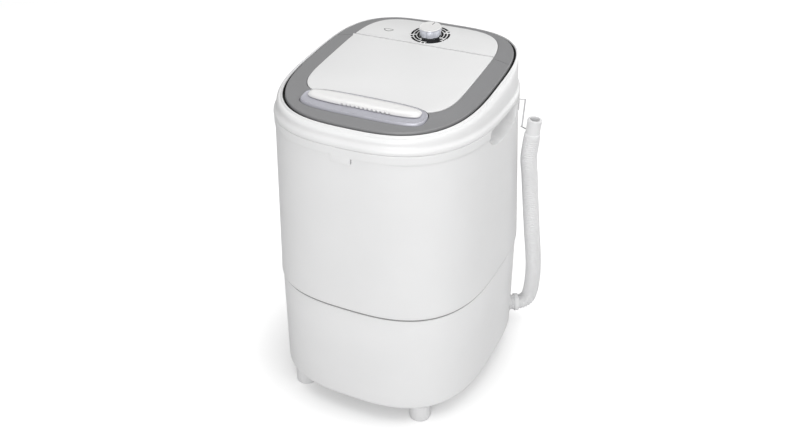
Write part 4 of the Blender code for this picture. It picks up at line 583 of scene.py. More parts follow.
def alongHinge(shape, x=0):
    turned = Matrix.Rotation(pi / 2, 4, "Y")
    return onTop(moved(shape, Matrix.Translation((x, hinge["y"], hinge["height"])) @ turned))


# Surround's and window's profiles, as inset and height
surround = {
    "halfWidth": 0.1604, "halfDepth": 0.184, "frontPower": 2.9, "rearPower": 3.56, "count": 288,
    "outer": (
        (0, -0.0035), (0, -0.0006), (0.0007, 0.0011), (0.0012, 0.0016), (0.0019, 0.0018), (0.003, 0.0018),
    ),
    "inner": (
        (-0.01, 0.0056), (-0.0055, 0.0065), (-0.002, 0.007), (-0.0012, 0.007), (-0.0006, 0.0068),
        (-0.0004, 0.0064), (-0.0004, 0.003), (0.006, 0.003), (0.006, 0.0008), (-0.0028, 0.0008),
    ),
    "under": ((0.0028, -0.0035),),
}
window = {
    "halfWidth": 0.128, "frontDepth": 0.125, "rearDepth": 0.1655, "frontPower": 4.6,
    "rearPower": 4.4, "aside": 0.002,
    "profile": (
        (0.0016, 0.008), (0.0009, 0.0078), (0.0005, 0.0074), (0.0004, 0.0069), (0.0004, 0.0033),
        (0.0034, 0.0033), (0.0034, 0.0055),
    ),
    "bar": ((-0.1195, 0, 0.0033), (0.1195, 0.003, 0.0071)),
}


def surroundOutline(inset=0, stretch=1):
    width = surround["halfWidth"] - inset
    depth = (surround["halfDepth"] - inset) * stretch
    powers = surround["frontPower"], surround["rearPower"]
    return lambda turn: outlinePoint(turn, width, depth, depth, *powers)


def windowOutline(inset):
    width = window["halfWidth"] - inset
    depths = window["frontDepth"] - inset, window["rearDepth"] - inset

    def outline(turn):
        x, y = outlinePoint(turn, width, *depths, window["frontPower"], window["rearPower"])
        return x + window["aside"], y

    return outline


def slantedRing(outline, lift):
    def ring(turn):
        x, y = outline(turn)
        return x, y, slope["height"] + (y * sin(slope["tilt"]) + lift) / cos(slope["tilt"])

    return ring


def blendedRing(first, second, planShare, riseShare):
    def ring(turn):
        (x0, y0, z0), (x1, y1, z1) = first(turn), second(turn)
        return between(x0, x1, planShare), between(y0, y1, planShare), between(z0, z1, riseShare)

    return ring


# Collar: ledge and skirt as inset or radius and height, lip and the black gap strip as inset and lift from
# the slope; the strip is painted shade in the lid's gap
collar = {
    "bottom": 0.5193, "flangeTop": 0.5298, "shoulderInset": 0.0048, "shoulderRise": 0.004,
    "shoulderPower": 2.67, "steps": 16, "fullness": 0.85,
    "ledge": (
        (0, 0.5225), (0.0003, 0.5245), (0.001, 0.5262), (0.002, 0.5277), (0.003, 0.529),
        (0.0039, 0.5304), (0.0045, 0.532),
    ),
    "lipFoot": (-0.0068, -0.003),
    "lip": (
        (-0.006, -0.0014), (-0.0053, -0.0005), (-0.0046, -0.0002), (-0.0039, -0.0005), (-0.0036, -0.0012),
        (-0.0036, -0.004),
    ),
    "seat": ((0.0008, -0.004), (0, -0.0048)),
    "seatInset": -0.0025, "mouthBottom": 0.534,
    "skirt": ((0.143, 0.5245), (0.143, 0.5139), (0.1434, 0.5135), (0.1455, 0.5135), (0.1455, 0.52325)),
    "behindMouth": 0.53275, "mouth": (0.143, 0.099, 2, 4, -0.022),
    "well": (0.085, 0.036, 5, 0, 0.127), "wellLifts": (-0.0105, 0.004), "wellCount": 72,
    "gapShade": (
        (-0.0035, -0.004), (-0.0035, -0.0026), (-0.0032, -0.0023), (-0.0006, -0.0023), (-0.0003, -0.0026),
        (-0.0003, -0.004),
    ),
}


def mouthOutline(offset=0):
    width, rearDepth, *rest = collar["mouth"]
    return lambda turn: outlinePoint(turn, width + offset, width + offset, rearDepth + offset, *rest)


def makeCollar():
    bottom, flange, wall = collar["bottom"], collar["flangeTop"], body["wall"]

    def shoulderOutline(inset):
        return rimOutline(inset, collar["shoulderPower"])

    def skirtOutline(radius):
        return circleOutline(radius, body["tubY"])

    shoulder = levelRing(shoulderOutline(collar["shoulderInset"]), flange + collar["shoulderRise"])
    lipInset, lipLift = collar["lipFoot"]
    lip = slantedRing(surroundOutline(lipInset), lipLift)
    rings = ringsOf(rimOutline, body["rimEdge"], bottom)
    rings += ringsOf(shoulderOutline, collar["ledge"])
    rings.append(shoulder)
    for index in range(1, collar["steps"] + 1):
        angle = pi / 2 * index / collar["steps"]
        planShare, riseShare = 1 - cos(angle) ** collar["fullness"], sin(angle) ** collar["fullness"]
        rings.append(blendedRing(shoulder, lip, planShare, riseShare))
    seatBottom = collar["lip"][-1][1] - wall
    rings += [
        *ringsOf(surroundOutline, collar["lip"], kind=slantedRing),
        *ringsOf(mouthOutline, collar["seat"], kind=slantedRing),
        levelRing(mouthOutline(), collar["mouthBottom"]),
        *ringsOf(skirtOutline, collar["skirt"]),
        levelRing(mouthOutline(wall), collar["behindMouth"]),
        slantedRing(mouthOutline(wall), seatBottom),
        slantedRing(surroundOutline(collar["seatInset"]), seatBottom),
        levelRing(shoulderOutline(collar["shoulderInset"] + wall), flange - wall),
        levelRing(rimOutline(collar["shoulderInset"] + wall), bottom),
    ]
    shape = ringShell(rings, surround["count"], closed=True)
    piece = linked("top_collar", shape, bodyPlastic, ["collar"])
    well = [slantedRing(evenOutline(*collar["well"]), lift) for lift in collar["wellLifts"]]
    joinedWith(piece, [ringShell(well, collar["wellCount"])])
    # a black strip at the bottom of the lid's gap, painted shade that darkens the gap
    gapShade = ringsOf(surroundOutline, collar["gapShade"], kind=slantedRing)
    strip = ringShell(gapShade, surround["count"], closed=True)
    linked("lid_gap_shade_strip", strip, gapShadePaint)


makeCollar()
print("collar made")


def surroundBand():
    def outerOutline(inset):
        return surroundOutline(inset, 1 / cos(slope["tilt"]))

    rings = ringsOf(outerOutline, surround["outer"]) + ringsOf(windowOutline, surround["inner"])
    rings += ringsOf(outerOutline, surround["under"])
    return ringShell(rings, surround["count"], closed=True)


def windowPlate():
    return ringShell(ringsOf(windowOutline, window["profile"]), surround["count"])


def trimmed(shape, y, keepFront):
    # cut a shape at a plane across Y and close the cut
    geometry = list(shape.verts) + list(shape.edges) + list(shape.faces)
    cut = bmesh.ops.bisect_plane(
        shape,
        geom=geometry,
        dist=1e-7,
        plane_co=(0, y, 0),
        plane_no=(0, 1, 0) if keepFront else (0, -1, 0),
        clear_outer=True,
        clear_inner=False,
    )
    edges = [item for item in cut["geom_cut"] if isinstance(item, bmesh.types.BMEdge)]
    bmesh.ops.holes_fill(shape, edges=edges, sides=0)
    return onTop(shape)


# Lid handle: a shallow tray, and a domed bar with a row of notches
handle = {
    "x": 0.0015, "y": -0.1335, "halfLength": 0.1047, "halfWidth": 0.0263, "power": 3.4,
    "slope": 0.05, "gap": 0.0009, "room": (0.0007, 0.012), "count": 260,
    "profile": (
        (0, 0.001, False), (0, 0.0034, False), (0.0008, 0.0065), (0.0014, 0.0074), (0.002, 0.0078),
        (0.0026, 0.0078), (0.0034, 0.0074), (0.0048, 0.007), (0.008, 0.0065), (0.013, 0.0061),
    ),
}
grip = {
    "x": 0.0005, "y": -0.128, "halfLength": 0.095, "halfWidth": 0.0141, "power": 3.4,
    "count": 720,
    "foot": ((0.006, 0.005, False), (0.006, 0.0069)),
    "side": ((0.0012, 0.0069, 0.0018), (0.0003, 0.0074, 0.0024), (0, 0.0083, 0.0026)),
    "domeInset": 0.012, "domeRise": 0.0058, "domeRings": 8, "notches": 12, "pitch": 0.0072,
    "notchHalf": 0.0019, "notchMiddle": 0.0095, "notchFade": 2,
}


def barRing(bar, inset, height, sloped=True):
    length, width, power = bar["halfLength"] - inset, bar["halfWidth"] - inset, bar["power"]

    def ring(turn):
        x, y = outlinePoint(turn, length, width, width, power, power, bar["y"])
        rise = handle["slope"] * (y - handle["y"]) if sloped else 0
        return x + bar["x"], y, height + rise

    return ring


def handleRoom():
    rings = [barRing(handle, -handle["gap"], height, False) for height in handle["room"]]
    return onTop(ringShell(rings, spacedTurns(handle)))


# Gray surround and white plate: each is one shape, split at the hinge line into lid and panel
def makeSurround():
    frontBand = trimmed(surroundBand(), hinge["y"] - hinge["lidGap"], True)
    lidFrame = linked("lid_surround", frontBand, surroundPlastic, ["lid_frame"], "lid")
    joinedWith(lidFrame, [handleRoom()])
    rearBand = trimmed(surroundBand(), hinge["y"] - hinge["panelGap"], False)
    bezel = linked("panel_surround", rearBand, surroundPlastic, ["control_panel_bezel"])
    low, high = hinge["roomHeights"]
    noseRoom = boxShape(
        (-hinge["roomX"], hinge["y"] - hinge["roomFront"], low),
        (hinge["roomX"], hinge["y"] + hinge["plateGap"], high),
    )
    pinBore = rodShape(hinge["pinRadius"], hinge["pinLength"], 20)
    joinedWith(bezel, [onTop(noseRoom), alongHinge(pinBore)])


def makePlates():
    front = trimmed(windowPlate(), hinge["y"], True)
    lidPanel = linked("lid_window", front, windowPlastic, ["lid_panel"], "lid")
    joinedWith(lidPanel, [alongHinge(rodShape(hinge["noseRadius"], hinge["noseLength"], 48))], "UNION")
    bores = [
        alongHinge(rodShape(hinge["pinRadius"], hinge["boreLength"], 20), x)
        for x in (-hinge["boreX"], hinge["boreX"])
    ]
    joinedWith(lidPanel, [handleRoom(), *bores])
    plateFront = Vector((0, hinge["y"] + hinge["plateGap"], 0))
    rear = trimmed(windowPlate(), plateFront.y, False)
    plate = linked("control_plate", rear, windowPlastic, ["control_panel_plate"])
    low, high = window["bar"]
    joinedWith(plate, [onTop(boxShape(plateFront + Vector(low), plateFront + Vector(high)))], "UNION")
    hole = rodShape(timer["holeRadius"], timer["holeLength"], 32)
    joinedWith(plate, [onTop(moved(hole, Matrix.Translation((0, timer["y"], timer["holeHeight"]))))])


makeSurround()
makePlates()
print("surround and panels made")


def makeHandle():
    rings = [barRing(handle, *step) for step in handle["profile"]]
    dish = onTop(ringShell(rings, spacedTurns(handle)))
    linked("handle_dish", dish, silverPlastic, ["lid_handle_base"], "lid")

    pitch = grip["pitch"]
    half = (grip["notches"] - 1) / 2 * pitch

    def notched(inset, height, depth):
        plain = barRing(grip, inset, height)

        def cut(turn):
            x, y, z = plain(turn)
            along = x - grip["notchMiddle"]
            if y < grip["y"] and abs(along) < half + pitch / 2:
                phase = abs((along + half + pitch / 2) % pitch - pitch / 2)
                y += depth * max(0, 1 - (phase / grip["notchHalf"]) ** 2) ** 0.5
            return x, y, z

        return cut

    rings = [barRing(grip, *step) for step in grip["foot"]]
    rings += [notched(*step) for step in grip["side"]]
    sideInset, sideTop, sideDepth = grip["side"][-1]
    for index in range(1, grip["domeRings"] + 1):
        angle = pi / 2 * index / grip["domeRings"]
        inset = sideInset + grip["domeInset"] * (1 - cos(angle))
        depth = sideDepth * max(0, 1 - index / grip["notchFade"])
        rings.append(notched(inset, sideTop + grip["domeRise"] * sin(angle), depth))
    bar = onTop(ringShell(rings, spacedTurns(grip)))
    linked("handle_bar", bar, pearlPlastic, ["lid_handle_grip"], "lid")


makeHandle()
print("handle made")


# Timer dial, its print and the knob
dial = {
    "radius": 0.0344, "bore": 0.005, "bottom": 0.0081, "thickness": 0.0004,
    "edge": (0.0003, 0.0002), "print": 0.00012, "sunk": 0.0001, "count": 128,
}
timerPlace = topPlace @ Matrix.Translation((0, timer["y"], 0))


def arcShape(inner, outer, low, high, first, last, steps):
    shape = bmesh.new()
    corners = [(inner, low), (outer, low), (outer, high), (inner, high)]
    across, along = cos(first), sin(first)
    face = shape.faces.new([shape.verts.new((reach * across, reach * along, z)) for reach, z in corners])
    return spun(shape, [face, *face.edges, *face.verts], last - first, steps, False)


# black print on the dial, and painted shadow of the knob in its front sector, as inner and outer radius in
# millimetres and spans in degrees
dialPrintAndShadow = (
    (29.7, 33.7, ((152, 196), (202, 212), (216, 262), (266, 274), (278, 331), (334, 339), (342, 347))),
    (29.7, 33.7, ((350, 385), (394, 400), (407, 436))),
    (24.1, 28.0, ((158, 193), (201, 252), (255, 343), (348, 388), (398, 428))),
    # these two rows fill the front sector between the rings in black: painted shadow of the knob
    (27.4, 30.4, ((281, 328),)),
    (19.0, 22.6, ((150, 241), (246, 345), (350, 420))),
    (22.4, 24.8, ((255, 335),)),
    (8.0, 18.6, ((0, 180), (180, 360))),
)


def makeDial():
    low, radius, bore = dial["bottom"], dial["radius"], dial["bore"]
    high = low + dial["thickness"]
    inset, drop = dial["edge"]
    profile = [(bore, low), (radius, low), (radius, high - drop), (radius - inset, high), (bore, high)]
    disc = turnedShape(profile, dial["count"], True)
    linked("dial_disc", moved(disc, timerPlace), markPlastic, ["dial_ring"])
    printAndShadow = bmesh.new()
    heights = high - dial["sunk"], high + dial["print"]
    for inner, outer, spans in dialPrintAndShadow:
        for first, last in spans:
            steps = max(3, (last - first) // 3)
            arc = arcShape(inner / 1000, outer / 1000, *heights, radians(first), radians(last), steps)
            mesh = bpy.data.meshes.new("arc")
            arc.to_mesh(mesh)
            arc.free()
            printAndShadow.from_mesh(mesh)
            bpy.data.meshes.remove(mesh)
    linked("dial_arcs", moved(printAndShadow, timerPlace), dialPlastic)


# the cap's foot has radius and drop from its bottom, and its side and rim have inset and drop from its top
knob = {
    "flutes": 8, "flute": 0.0014, "shaft": 0.0033, "bottom": 0.0088, "shaftRise": 0.0097,
    "lowRadius": 0.0178, "highRadius": 0.0183, "lowEdge": 0.0005, "bulge": 0.0001,
    "shoulder": ((0.0004, 0.5, 0.0014), (0.0016, 0, 0.001), (0.002, 0, 0)),
    "shoulderDrop": 0.0022, "skirtCount": 320, "capRadius": 0.0189, "capBottom": 0.0222,
    "capFoot": ((0, 0.0006), (0.0165, 0.0006), (0.0168, 0)),
    "capSide": ((0.0003, 0.0017), (0, 0.0014)),
    "capRim": (
        (0, 0.0008), (0.0003, 0.0003), (0.0009, 0), (0.0014, 0), (0.0019, 0.0003), (0.004, 0.00035),
    ),
    "capDish": 0.0001, "capCount": 128, "top": 0.024, "markTurn": radians(-5),
    "markWidth": 0.0017, "markSpan": (0.0065, 0.0172), "markGap": 0.00005,
    "markHeights": (-0.0009, -0.0008, -0.00045, 0.002),
}


def makeKnob():
    flute, foot, neck = knob["flute"], knob["lowRadius"], knob["highRadius"]
    low, high = knob["bottom"], knob["capBottom"] - knob["lowEdge"]

    def fluted(radius, depth, height):
        def ring(turn):
            wave = abs(sin(knob["flutes"] * turn / 2))
            reach = radius - depth * (1 - wave) ** 2
            return reach * cos(turn), reach * sin(turn), height

        return ring

    rings = [
        fluted(knob["shaft"], 0, low + knob["shaftRise"]),
        fluted(knob["shaft"], 0, low),
        fluted(foot - knob["lowEdge"], flute, low),
        fluted(foot, flute, low + knob["lowEdge"]),
        fluted((foot + neck) / 2 + knob["bulge"], flute, (low + high) / 2),
        fluted(neck, flute, high - knob["shoulderDrop"]),
    ]
    rings += [fluted(neck - inset, flute * share, high - drop) for inset, share, drop in knob["shoulder"]]
    skirt = ringShell(rings, knob["skirtCount"])
    linked("knob_skirt", moved(skirt, timerPlace), knobSilver, body="timer")
    capTop, radius = knob["top"], knob["capRadius"]
    profile = [(reach, knob["capBottom"] - drop) for reach, drop in knob["capFoot"]]
    profile += [(radius - inset, capTop - drop) for inset, drop in (*knob["capSide"], *knob["capRim"])]
    profile.append((0, capTop - knob["capDish"]))
    capShape = moved(turnedShape(profile, knob["capCount"]), timerPlace)
    cap = linked("knob_cap", capShape, pearlPlastic, ["timer_knob"], "timer")
    turned = timerPlace @ Matrix.Rotation(knob["markTurn"], 4, "Z")
    half, gap, (near, far) = knob["markWidth"] / 2, knob["markGap"], knob["markSpan"]
    fillLow, cutLow, fillHigh, cutHigh = (capTop + rise for rise in knob["markHeights"])
    joinedWith(cap, [moved(boxShape((-half, near, cutLow), (half, far, cutHigh)), turned)])
    filler = boxShape((gap - half, near + gap, fillLow), (half - gap, far - gap, fillHigh))
    linked("knob_mark", moved(filler, turned), markGray, body="timer")


# A plain basin sign on the panel: a bowl and its rim, as inner and outer radius and span in degrees
basin = {
    "x": -0.076, "y": 0.119, "heights": (0.0079, 0.0081), "bowl": (0.0074, 0.0092),
    "bowlSpan": (192, 348), "rim": (0.02, 0.0209), "rimSpan": (62, 116), "drop": 0.0205,
    "count": 24,
}


def makeBasin():
    for name, y in (("bowl", basin["y"]), ("rim", basin["y"] - basin["drop"])):
        span = [radians(angle) for angle in basin[name + "Span"]]
        arc = arcShape(*basin[name], *basin["heights"], *span, basin["count"])
        shape = moved(arc, topPlace @ Matrix.Translation((basin["x"], y, 0)))
        linked("basin_" + name, shape, signGray)


makeDial()
makeKnob()
makeBasin()
print("dial and knob made")

# Feet, as radius and height
foot = {
    "x": 0.113, "y": 0.157, "count": 72,
    "profile": (
        (0, 0.0312), (0.0172, 0.0312), (0.0183, 0.0307), (0.0187, 0.0297), (0.0187, 0.006),
        (0.0181, 0.0054), (0.0181, 0.0046), (0.0187, 0.004), (0.0187, 0.0012), (0.0183, 0.0004),
        (0.0174, 0), (0.012, 0), (0.0114, 0.0008), (0.006, 0.0008), (0.0054, 0), (0, 0),
    ),
}


def makeFeet():
    for side, x in (("left", -foot["x"]), ("right", foot["x"])):
        for end, y in (("front", -foot["y"]), ("rear", foot["y"])):
            shape = moved(turnedShape(foot["profile"], foot["count"]), Matrix.Translation((x, y, 0)))
            name = "%s_%s" % (end, side)
            linked("pad_" + name, shape, footRubber, ["foot_" + name])


makeFeet()
print("feet made")

# Tub
tub = {
    "floor": 0.2405, "floorWall": 0.003, "flangeRadius": 0.162, "flangeTop": 0.5218,
    "lipEdge": 0.001, "corner": 0.025, "cornerSteps": 8, "bore": 0.015, "drain": (0.08, 0.035),
    "drainRadius": 0.01, "drainLength": 0.02, "count": 144,
}


def makeTub():
    floor, radius, flangeTop, bore = tub["floor"], body["tubRadius"], tub["flangeTop"], tub["bore"]
    outer, under, flangeBottom = radius + body["wall"], floor - tub["floorWall"], flangeTop - body["wall"]
    outerCorner = reversed(cornerArc(tub["corner"], tub["cornerSteps"]))
    innerCorner = cornerArc(tub["corner"] - tub["floorWall"], tub["cornerSteps"])
    profile = [
        (tub["flangeRadius"], flangeTop),
        (tub["flangeRadius"], flangeBottom),
        (outer, flangeBottom),
        *((outer - inset, under + rise) for inset, rise in outerCorner),
        (bore, under),
        (bore, floor),
        *((radius - inset, floor + rise) for inset, rise in innerCorner),
        (radius, flangeTop - tub["lipEdge"]),
        (radius + tub["lipEdge"], flangeTop),
    ]
    shape = moved(turnedShape(profile, tub["count"], True), tubPlace)
    piece = linked("tub_shell", shape, tubPlastic, ["wash_tub"])
    drain = rodShape(tub["drainRadius"], tub["drainLength"], 40)
    joinedWith(piece, [moved(drain, Matrix.Translation((*tub["drain"], floor)))])


# Pulsator: a low cone with a domed hub and six ridges, and the head of its screw
pulsator = {
    "bottom": 0.244, "thickness": 0.006, "radius": 0.072, "edge": 0.001, "edgeShare": 0.97,
    "edgeDrop": 0.35, "faceShare": 0.9, "hubRadius": 0.018, "hubHeight": 0.018,
    "hubStart": 0.78, "hubTopRadii": (0.0108, 0.0045), "domeHeight": 0.0095, "domeReach": 1.9,
    "domePower": 0.8, "ridges": 6, "ridgeTurn": pi / 7, "ridgeHeight": 0.012,
    "ridgeWidth": 0.0045, "ridgeSteepness": 0.9, "ridgeEnd": 0.0645, "ridgeFade": 0.01,
    "bore": 0.0053, "screwBore": 0.0021, "boreTop": 0.2563, "rings": 36, "count": 360,
}
screw = {
    "profile": (
        (0, 0.2645), (0.0028, 0.2645), (0.0036, 0.2638), (0.0036, 0.2623), (0.0018, 0.2623),
        (0.0018, 0.2458), (0, 0.2458),
    ),
    "slot": ((-0.0022, -0.0004, 0.2636), (0.0022, 0.0004, 0.266)),
    "count": 32,
}


def makePulsator():
    low, disc, radius, hub = (pulsator[name] for name in ("bottom", "thickness", "radius", "hubRadius"))
    hubTop, edge, rings = low + pulsator["hubHeight"], pulsator["edge"], pulsator["rings"]
    ridgeTop, sector = low + pulsator["ridgeHeight"], tau / pulsator["ridges"]

    def surface(share):
        reach = between(hub * pulsator["hubStart"], radius, share)
        dome = max(0, 1 - (reach / (hub * pulsator["domeReach"])) ** 2)
        plain = low + disc * pulsator["faceShare"] + pulsator["domeHeight"] * dome ** pulsator["domePower"]
        fade = clamped((pulsator["ridgeEnd"] - reach) / pulsator["ridgeFade"])
        outside = max(0, share - pulsator["edgeShare"]) / (1 - pulsator["edgeShare"])

        def ring(turn):
            phase = turn - pulsator["ridgeTurn"]
            along = cos(phase * pulsator["ridges"]) * 0.5 + 0.5
            offset = abs((phase + sector / 2) % sector - sector / 2) * reach / pulsator["ridgeWidth"]
            ridge = exp(-(offset**2) * pulsator["ridgeSteepness"]) * along
            raised = min(hubTop - edge, between(plain, ridgeTop, ridge * fade))
            height = max(plain, raised) - disc * pulsator["edgeDrop"] * outside
            return reach * cos(turn), reach * sin(turn), height

        return ring

    bore, screwBore, boreTop = pulsator["bore"], pulsator["screwBore"], pulsator["boreTop"]
    hubSide, hubEdge = pulsator["hubTopRadii"]
    under = ((bore, boreTop), (bore, low), (radius - edge, low), (radius, low + edge))
    above = ((hubSide, hubTop - 0.0002), (hubEdge, hubTop), (screwBore, hubTop), (screwBore, boreTop))
    face = [surface(1 - index / rings) for index in range(rings + 1)]
    sides = [ringsOf(circleOutline, profile) for profile in (under, above)]
    shape = moved(ringShell([*sides[0], *face, *sides[1]], pulsator["count"], closed=True), tubPlace)
    linked("pulsator_disc", shape, silverPlastic, ["pulsator"], "pulsator_drive")
    head = moved(turnedShape(screw["profile"], screw["count"]), tubPlace)
    piece = linked("pulsator_screw_head", head, zincSteel, ["pulsator_screw"], "pulsator_drive")
    turned = [tubPlace @ Matrix.Rotation(turn, 4, "Z") for turn in (0, pi / 2)]
    joinedWith(piece, [moved(boxShape(*screw["slot"]), place) for place in turned])


# Overflow cover on the tub's wall
grille = {
    "radii": (0.1447, 0.14665), "heights": (0.3, 0.455), "span": (24, 60), "steps": 36,
    "slots": 6, "slotReach": (0.073, 0.151), "slotHalf": 0.0233, "slotRise": 0.003,
    "slotEdge": 0.0029, "edge": 0.0005,
}


def makeOverflowCover():
    first, last = (radians(angle) for angle in grille["span"])
    shape = arcShape(*grille["radii"], *grille["heights"], first, last, grille["steps"])
    piece = linked(
        "overflow_grille", moved(shape, tubPlace), tubPlastic, ["overflow_cover"]
    )
    turned = tubPlace @ Matrix.Rotation((first + last) / 2, 4, "Z")
    (near, far), half, rise = grille["slotReach"], grille["slotHalf"], grille["slotRise"]
    slots = []
    for index in range(1, grille["slots"] + 1):
        height = between(*grille["heights"], index / (grille["slots"] + 1))
        bar = boxShape((near, -half, height - rise), (far, half, height + rise))
        long = [edge for edge in bar.edges if edge.calc_length() > far / 2]
        slots.append(moved(bevelled(bar, long, grille["slotEdge"], 5), turned))
    joinedWith(piece, slots)
    rounded(piece, grille["edge"], 2)


makeTub()
makePulsator()
makeOverflowCover()
print("tub group made")

# Drain hose, with its route repeated from the part
hoseRoute = (
    (0.163, 0.1566, 0.049),
    (0.1766, 0.1651, 0.049),
    (0.186, 0.1709, 0.052),
    (0.193, 0.1752, 0.0605),
    (0.196, 0.1765, 0.073),
    (0.2003, 0.169, 0.1),
    (0.2043, 0.1545, 0.15),
    (0.1997, 0.1371, 0.245),
    (0.1913, 0.1266, 0.353),
    (0.19, 0.1176, 0.4026),
    (0.1923, 0.1176, 0.4305),
)
hose = {
    "radius": 0.0145, "root": 0.013, "ribShape": 0.6, "pitch": 0.0039, "wall": 0.0012,
    "perRib": 6, "around": 8,
}


def smoothRoute(route, step, parts=48):
    # straight at both ends, and one smooth curve through the points between
    points = [Vector(point) for point in route]
    heads = [(end - start).normalized() for start, end in zip(points, points[1:])]
    bends = [(before + after).normalized() for before, after in zip(heads[1:-2], heads[2:-1])]
    ways = [heads[0], heads[0], *bends, heads[-1], heads[-1]]
    dense = [points[0]]
    for index, (start, end) in enumerate(zip(points, points[1:])):
        span = (end - start).length
        for count in range(1, parts + 1):
            t = count / parts
            if index in (0, len(points) - 2):
                dense.append(start.lerp(end, t))
            else:
                dense.append(
                    start * (2 * t**3 - 3 * t**2 + 1)
                    + ways[index] * span * (t**3 - 2 * t**2 + t)
                    + end * (3 * t**2 - 2 * t**3)
                    + ways[index + 1] * span * (t**3 - t**2)
                )
    lengths = runningLengths(dense)
    places = evenPlaces(lengths, round(lengths[-1] / step))
    return [dense[place].lerp(dense[place + 1], share) for place, share in places], lengths[-1]


def tubeShape(name, points, radii, around):
    # a curve gives the tube, then it becomes a mesh
    curve = bpy.data.curves.new(name, "CURVE")
    curve.dimensions = "3D"
    curve.bevel_depth = 1
    curve.bevel_resolution = around
    spline = curve.splines.new("POLY")
    spline.points.add(len(points) - 1)
    for item, point, radius in zip(spline.points, points, radii):
        item.co = (*point, 1)
        item.radius = radius
    holder = placed(name, curve)
    bpy.context.view_layer.update()
    mesh = bpy.data.meshes.new_from_object(holder.evaluated_get(bpy.context.evaluated_depsgraph_get()))
    bpy.data.objects.remove(holder)
    shape = bmesh.new()
    shape.from_mesh(mesh)
    bpy.data.meshes.remove(mesh)
    bmesh.ops.remove_doubles(shape, verts=shape.verts, dist=1e-6)
    return shape


def makeHose():
    points, length = smoothRoute(hoseRoute, hose["pitch"] / hose["perRib"])
    middle = (hose["radius"] + hose["root"]) / 2
    swing = (hose["radius"] - hose["root"]) / 2
    radii = []
    for index in range(len(points)):
        wave = cos(tau * index / hose["perRib"])
        radii.append(middle + swing * (abs(wave) ** hose["ribShape"]) * (1 if wave > 0 else -1))
    shape = tubeShape("hose", points, radii, hose["around"])
    bmesh.ops.recalc_face_normals(shape, faces=shape.faces)
    bmesh.ops.solidify(shape, geom=shape.faces[:], thickness=hose["wall"])
    piece = linked("ribbed_hose", shape, hosePlastic, ["drain_hose"], sharp=60)
    return piece, points, length


# Cuff, as radius and height above the hose's end
cuff = {
    "count": 72,
    "profile": (
        (0.0082, 0.036), (0.0117, 0.036), (0.0123, 0.0355), (0.0125, 0.0345), (0.0121, 0.014),
        (0.0123, 0.01), (0.0132, 0.0093), (0.0136, 0.0085), (0.0136, 0.0015), (0.0131, 0.0003),
        (0.0093, 0.0003), (0.0093, -0.012), (0.0082, -0.012),
    ),
}


def makeCuff():
    way = (Vector(hoseRoute[-1]) - Vector(hoseRoute[-2])).normalized()
    place = Matrix.Translation(hoseRoute[-1]) @ way.to_track_quat("Z", "Y").to_matrix().to_4x4()
    shape = moved(turnedShape(cuff["profile"], cuff["count"], True), place)
    return linked("hose_end_cuff", shape, hosePlastic, ["hose_cuff"])


# Hook, as reach from the wall and height
hook = {
    "place": (0.16864, 0.10793, 0), "turn": radians(18), "halfWidth": 0.0042, "edge": 0.0002,
    "profile": (
        (-0.0012, 0.482), (0.0008, 0.482), (0.0008, 0.5012), (0.0084, 0.5012), (0.0062, 0.4532),
        (0.005, 0.4538), (0.005, 0.4512), (0.0143, 0.4472), (0.0143, 0.4497), (0.009, 0.4522),
        (0.0112, 0.503), (-0.0012, 0.503),
    ),
}


def makeHook():
    shape = bmesh.new()
    shape.faces.new([shape.verts.new((reach, 0, height)) for reach, height in hook["profile"]])
    bmesh.ops.solidify(shape, geom=shape.faces[:], thickness=hook["halfWidth"] * 2)
    middle = sum(vert.co.y for vert in shape.verts) / len(shape.verts)
    turned = Matrix.Rotation(hook["turn"], 4, "Z") @ Matrix.Translation((0, -middle, 0))
    moved(shape, Matrix.Translation(hook["place"]) @ turned)
    piece = linked("hook_strap", shape, hookPlastic, ["hose_hook"])
    return rounded(piece, hook["edge"], 1)


hosePiece, hosePoints, hoseLength = makeHose()
cuffPiece = makeCuff()
hookPiece = makeHook()
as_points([tuple(point) for point in hosePoints[:: hose["perRib"]]] + [hoseRoute[-1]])
print("hose made, %.3f m" % hoseLength)

# The CAD nodes that stay get their own finish
stems = "tub_screw", "bottom_screw", "motor_bolt"
fasteners = ["%s_%d" % (stem, number) for stem in stems for number in range(1, 5)]
keptFinishes = (
    (hookPlastic, ["hose_clamp"]),
    (bodyPlastic, ["drain_outlet"]),
    (hosePlastic, ["drain_pipe"]),
    (castMetal, ["bearing_housing", "motor_body"]),
    (darkRubber, ["shaft_seal", "drive_belt"]),
    (pulleyPlastic, ["capacitor", "pulsator_pulley", "motor_pulley"]),
    (darkPlastic, ["cord_gland", "wiring_loom", "timer_body"]),
    (zincSteel, ["bottom_plate", "motor_bracket", "upper_bearing", "lower_bearing", "capacitor_clip"]),
    (zincSteel, ["timer_shaft", "pulsator_shaft", "motor_shaft", "pulsator_pulley_nut"]),
    (zincSteel, ["motor_pulley_nut", "lid_hinge_pin_left", "lid_hinge_pin_right", *fasteners]),
)
for finish, names in keptFinishes:
    for name in names:
        nodes[name].data.materials.clear()
        nodes[name].data.materials.append(finish)
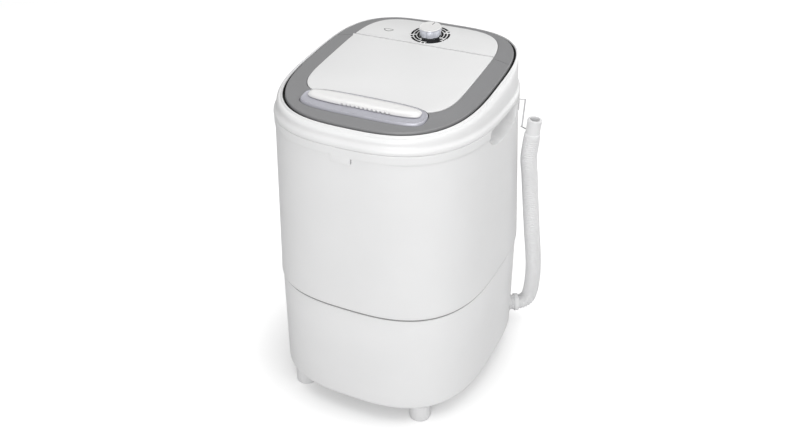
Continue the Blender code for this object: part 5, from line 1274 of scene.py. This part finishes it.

# Floor, world and lamps
# the floor glows for the camera as painted light, less near the machine as painted shadow
floorLook = {
    "size": 12, "colour": (0.74, 0.74, 0.74), "roughness": 0.6, "specular": 0.1,
    "nearGlowPaintedShadow": (0.15, 0.6, 0.15, 0.33), "farGlow": (0.48, 0.95, 0.3, 4.2),
}
worldLook = {"lighting": 0.34, "seen": 1.0}
lamps = {
    "front lamp": ((0.7, -2.35, 1.25), (0, 0, 0.3), (1.5, 1.5), 30),
    "top lamp": ((0.2, -0.2, 2.6), (0, 0, 0.4), (2.2, 2.2), 26.5),
    "right lamp": ((1.8, -0.2, 2.4), (0, 0, 0.4), (1.4, 1.6), 9),
    "side lamp": ((2.1, 1.0, 1.7), (0, 0, 0.4), (1.2, 1.2), 7),
    "rear lamp": ((-1.6, 1.8, 1.9), (0, 0, 0.5), (1.2, 1.2), 1.6),
    "back lamp": ((0.9, 2.5, 0.9), (0, 0, 0.35), (1.3, 1.3), 12),
}


def cameraChoice(tree, output, plain, seen):
    # the camera sees one shader, and the light that falls on the machine comes from the other
    path = addNode(tree, "LightPath")
    links = {0: path.outputs["Is Camera Ray"], 1: plain.outputs[0], 2: seen.outputs[0]}
    chosen = addNode(tree, "MixShader", {}, links)
    join(chosen.outputs[0], output.inputs["Surface"])


def makeFloor():
    shape = bmesh.new()
    bmesh.ops.create_grid(shape, x_segments=1, y_segments=1, size=floorLook["size"])
    floor = linked("floor", shape, body=None)
    material, tree, shader, vector = newMaterial(
        "pale floor", floorLook["colour"], floorLook["roughness"], specular=floorLook["specular"]
    )
    floor.data.materials.append(material)
    # straight from the camera the floor glows white as painted light, dimmer near the machine as painted
    # shadow, and the lamps' shadow still darkens it
    away = addNode(tree, "VectorMath", {}, {0: vector})
    away.operation = "LENGTH"
    glows = [spread(tree, away.outputs["Value"], *floorLook[name]) for name in ("nearGlowPaintedShadow", "farGlow")]
    least = addNode(tree, "Math", {}, {0: glows[0], 1: glows[1]})
    least.operation = "MINIMUM"
    white = addNode(tree, "Emission", {"Color": (1, 1, 1, 1)}, {"Strength": least.outputs[0]})
    both = addNode(tree, "AddShader", {}, {0: shader.outputs[0], 1: white.outputs[0]})
    cameraChoice(tree, tree.nodes["Material Output"], shader, both)


def makeWorld():
    world = bpy.data.worlds.new("studio")
    scene.world = world
    world.use_nodes = True
    tree = world.node_tree
    tree.nodes.clear()
    lighting, seen = (
        addNode(tree, "Background", {"Color": (1, 1, 1, 1), "Strength": worldLook[name]})
        for name in ("lighting", "seen")
    )
    cameraChoice(tree, addNode(tree, "OutputWorld"), lighting, seen)


def addLamp(name, place, target, size, power):
    data = bpy.data.lights.new(name, "AREA")
    data.shape = "RECTANGLE"
    data.size, data.size_y = size
    data.energy = power
    lamp = placed(name, data)
    lamp.location = place
    lamp.rotation_euler = (Vector(target) - Vector(place)).to_track_quat("-Z", "Y").to_euler()


makeFloor()
makeWorld()
for name, values in lamps.items():
    addLamp(name, *values)
print("stage made")
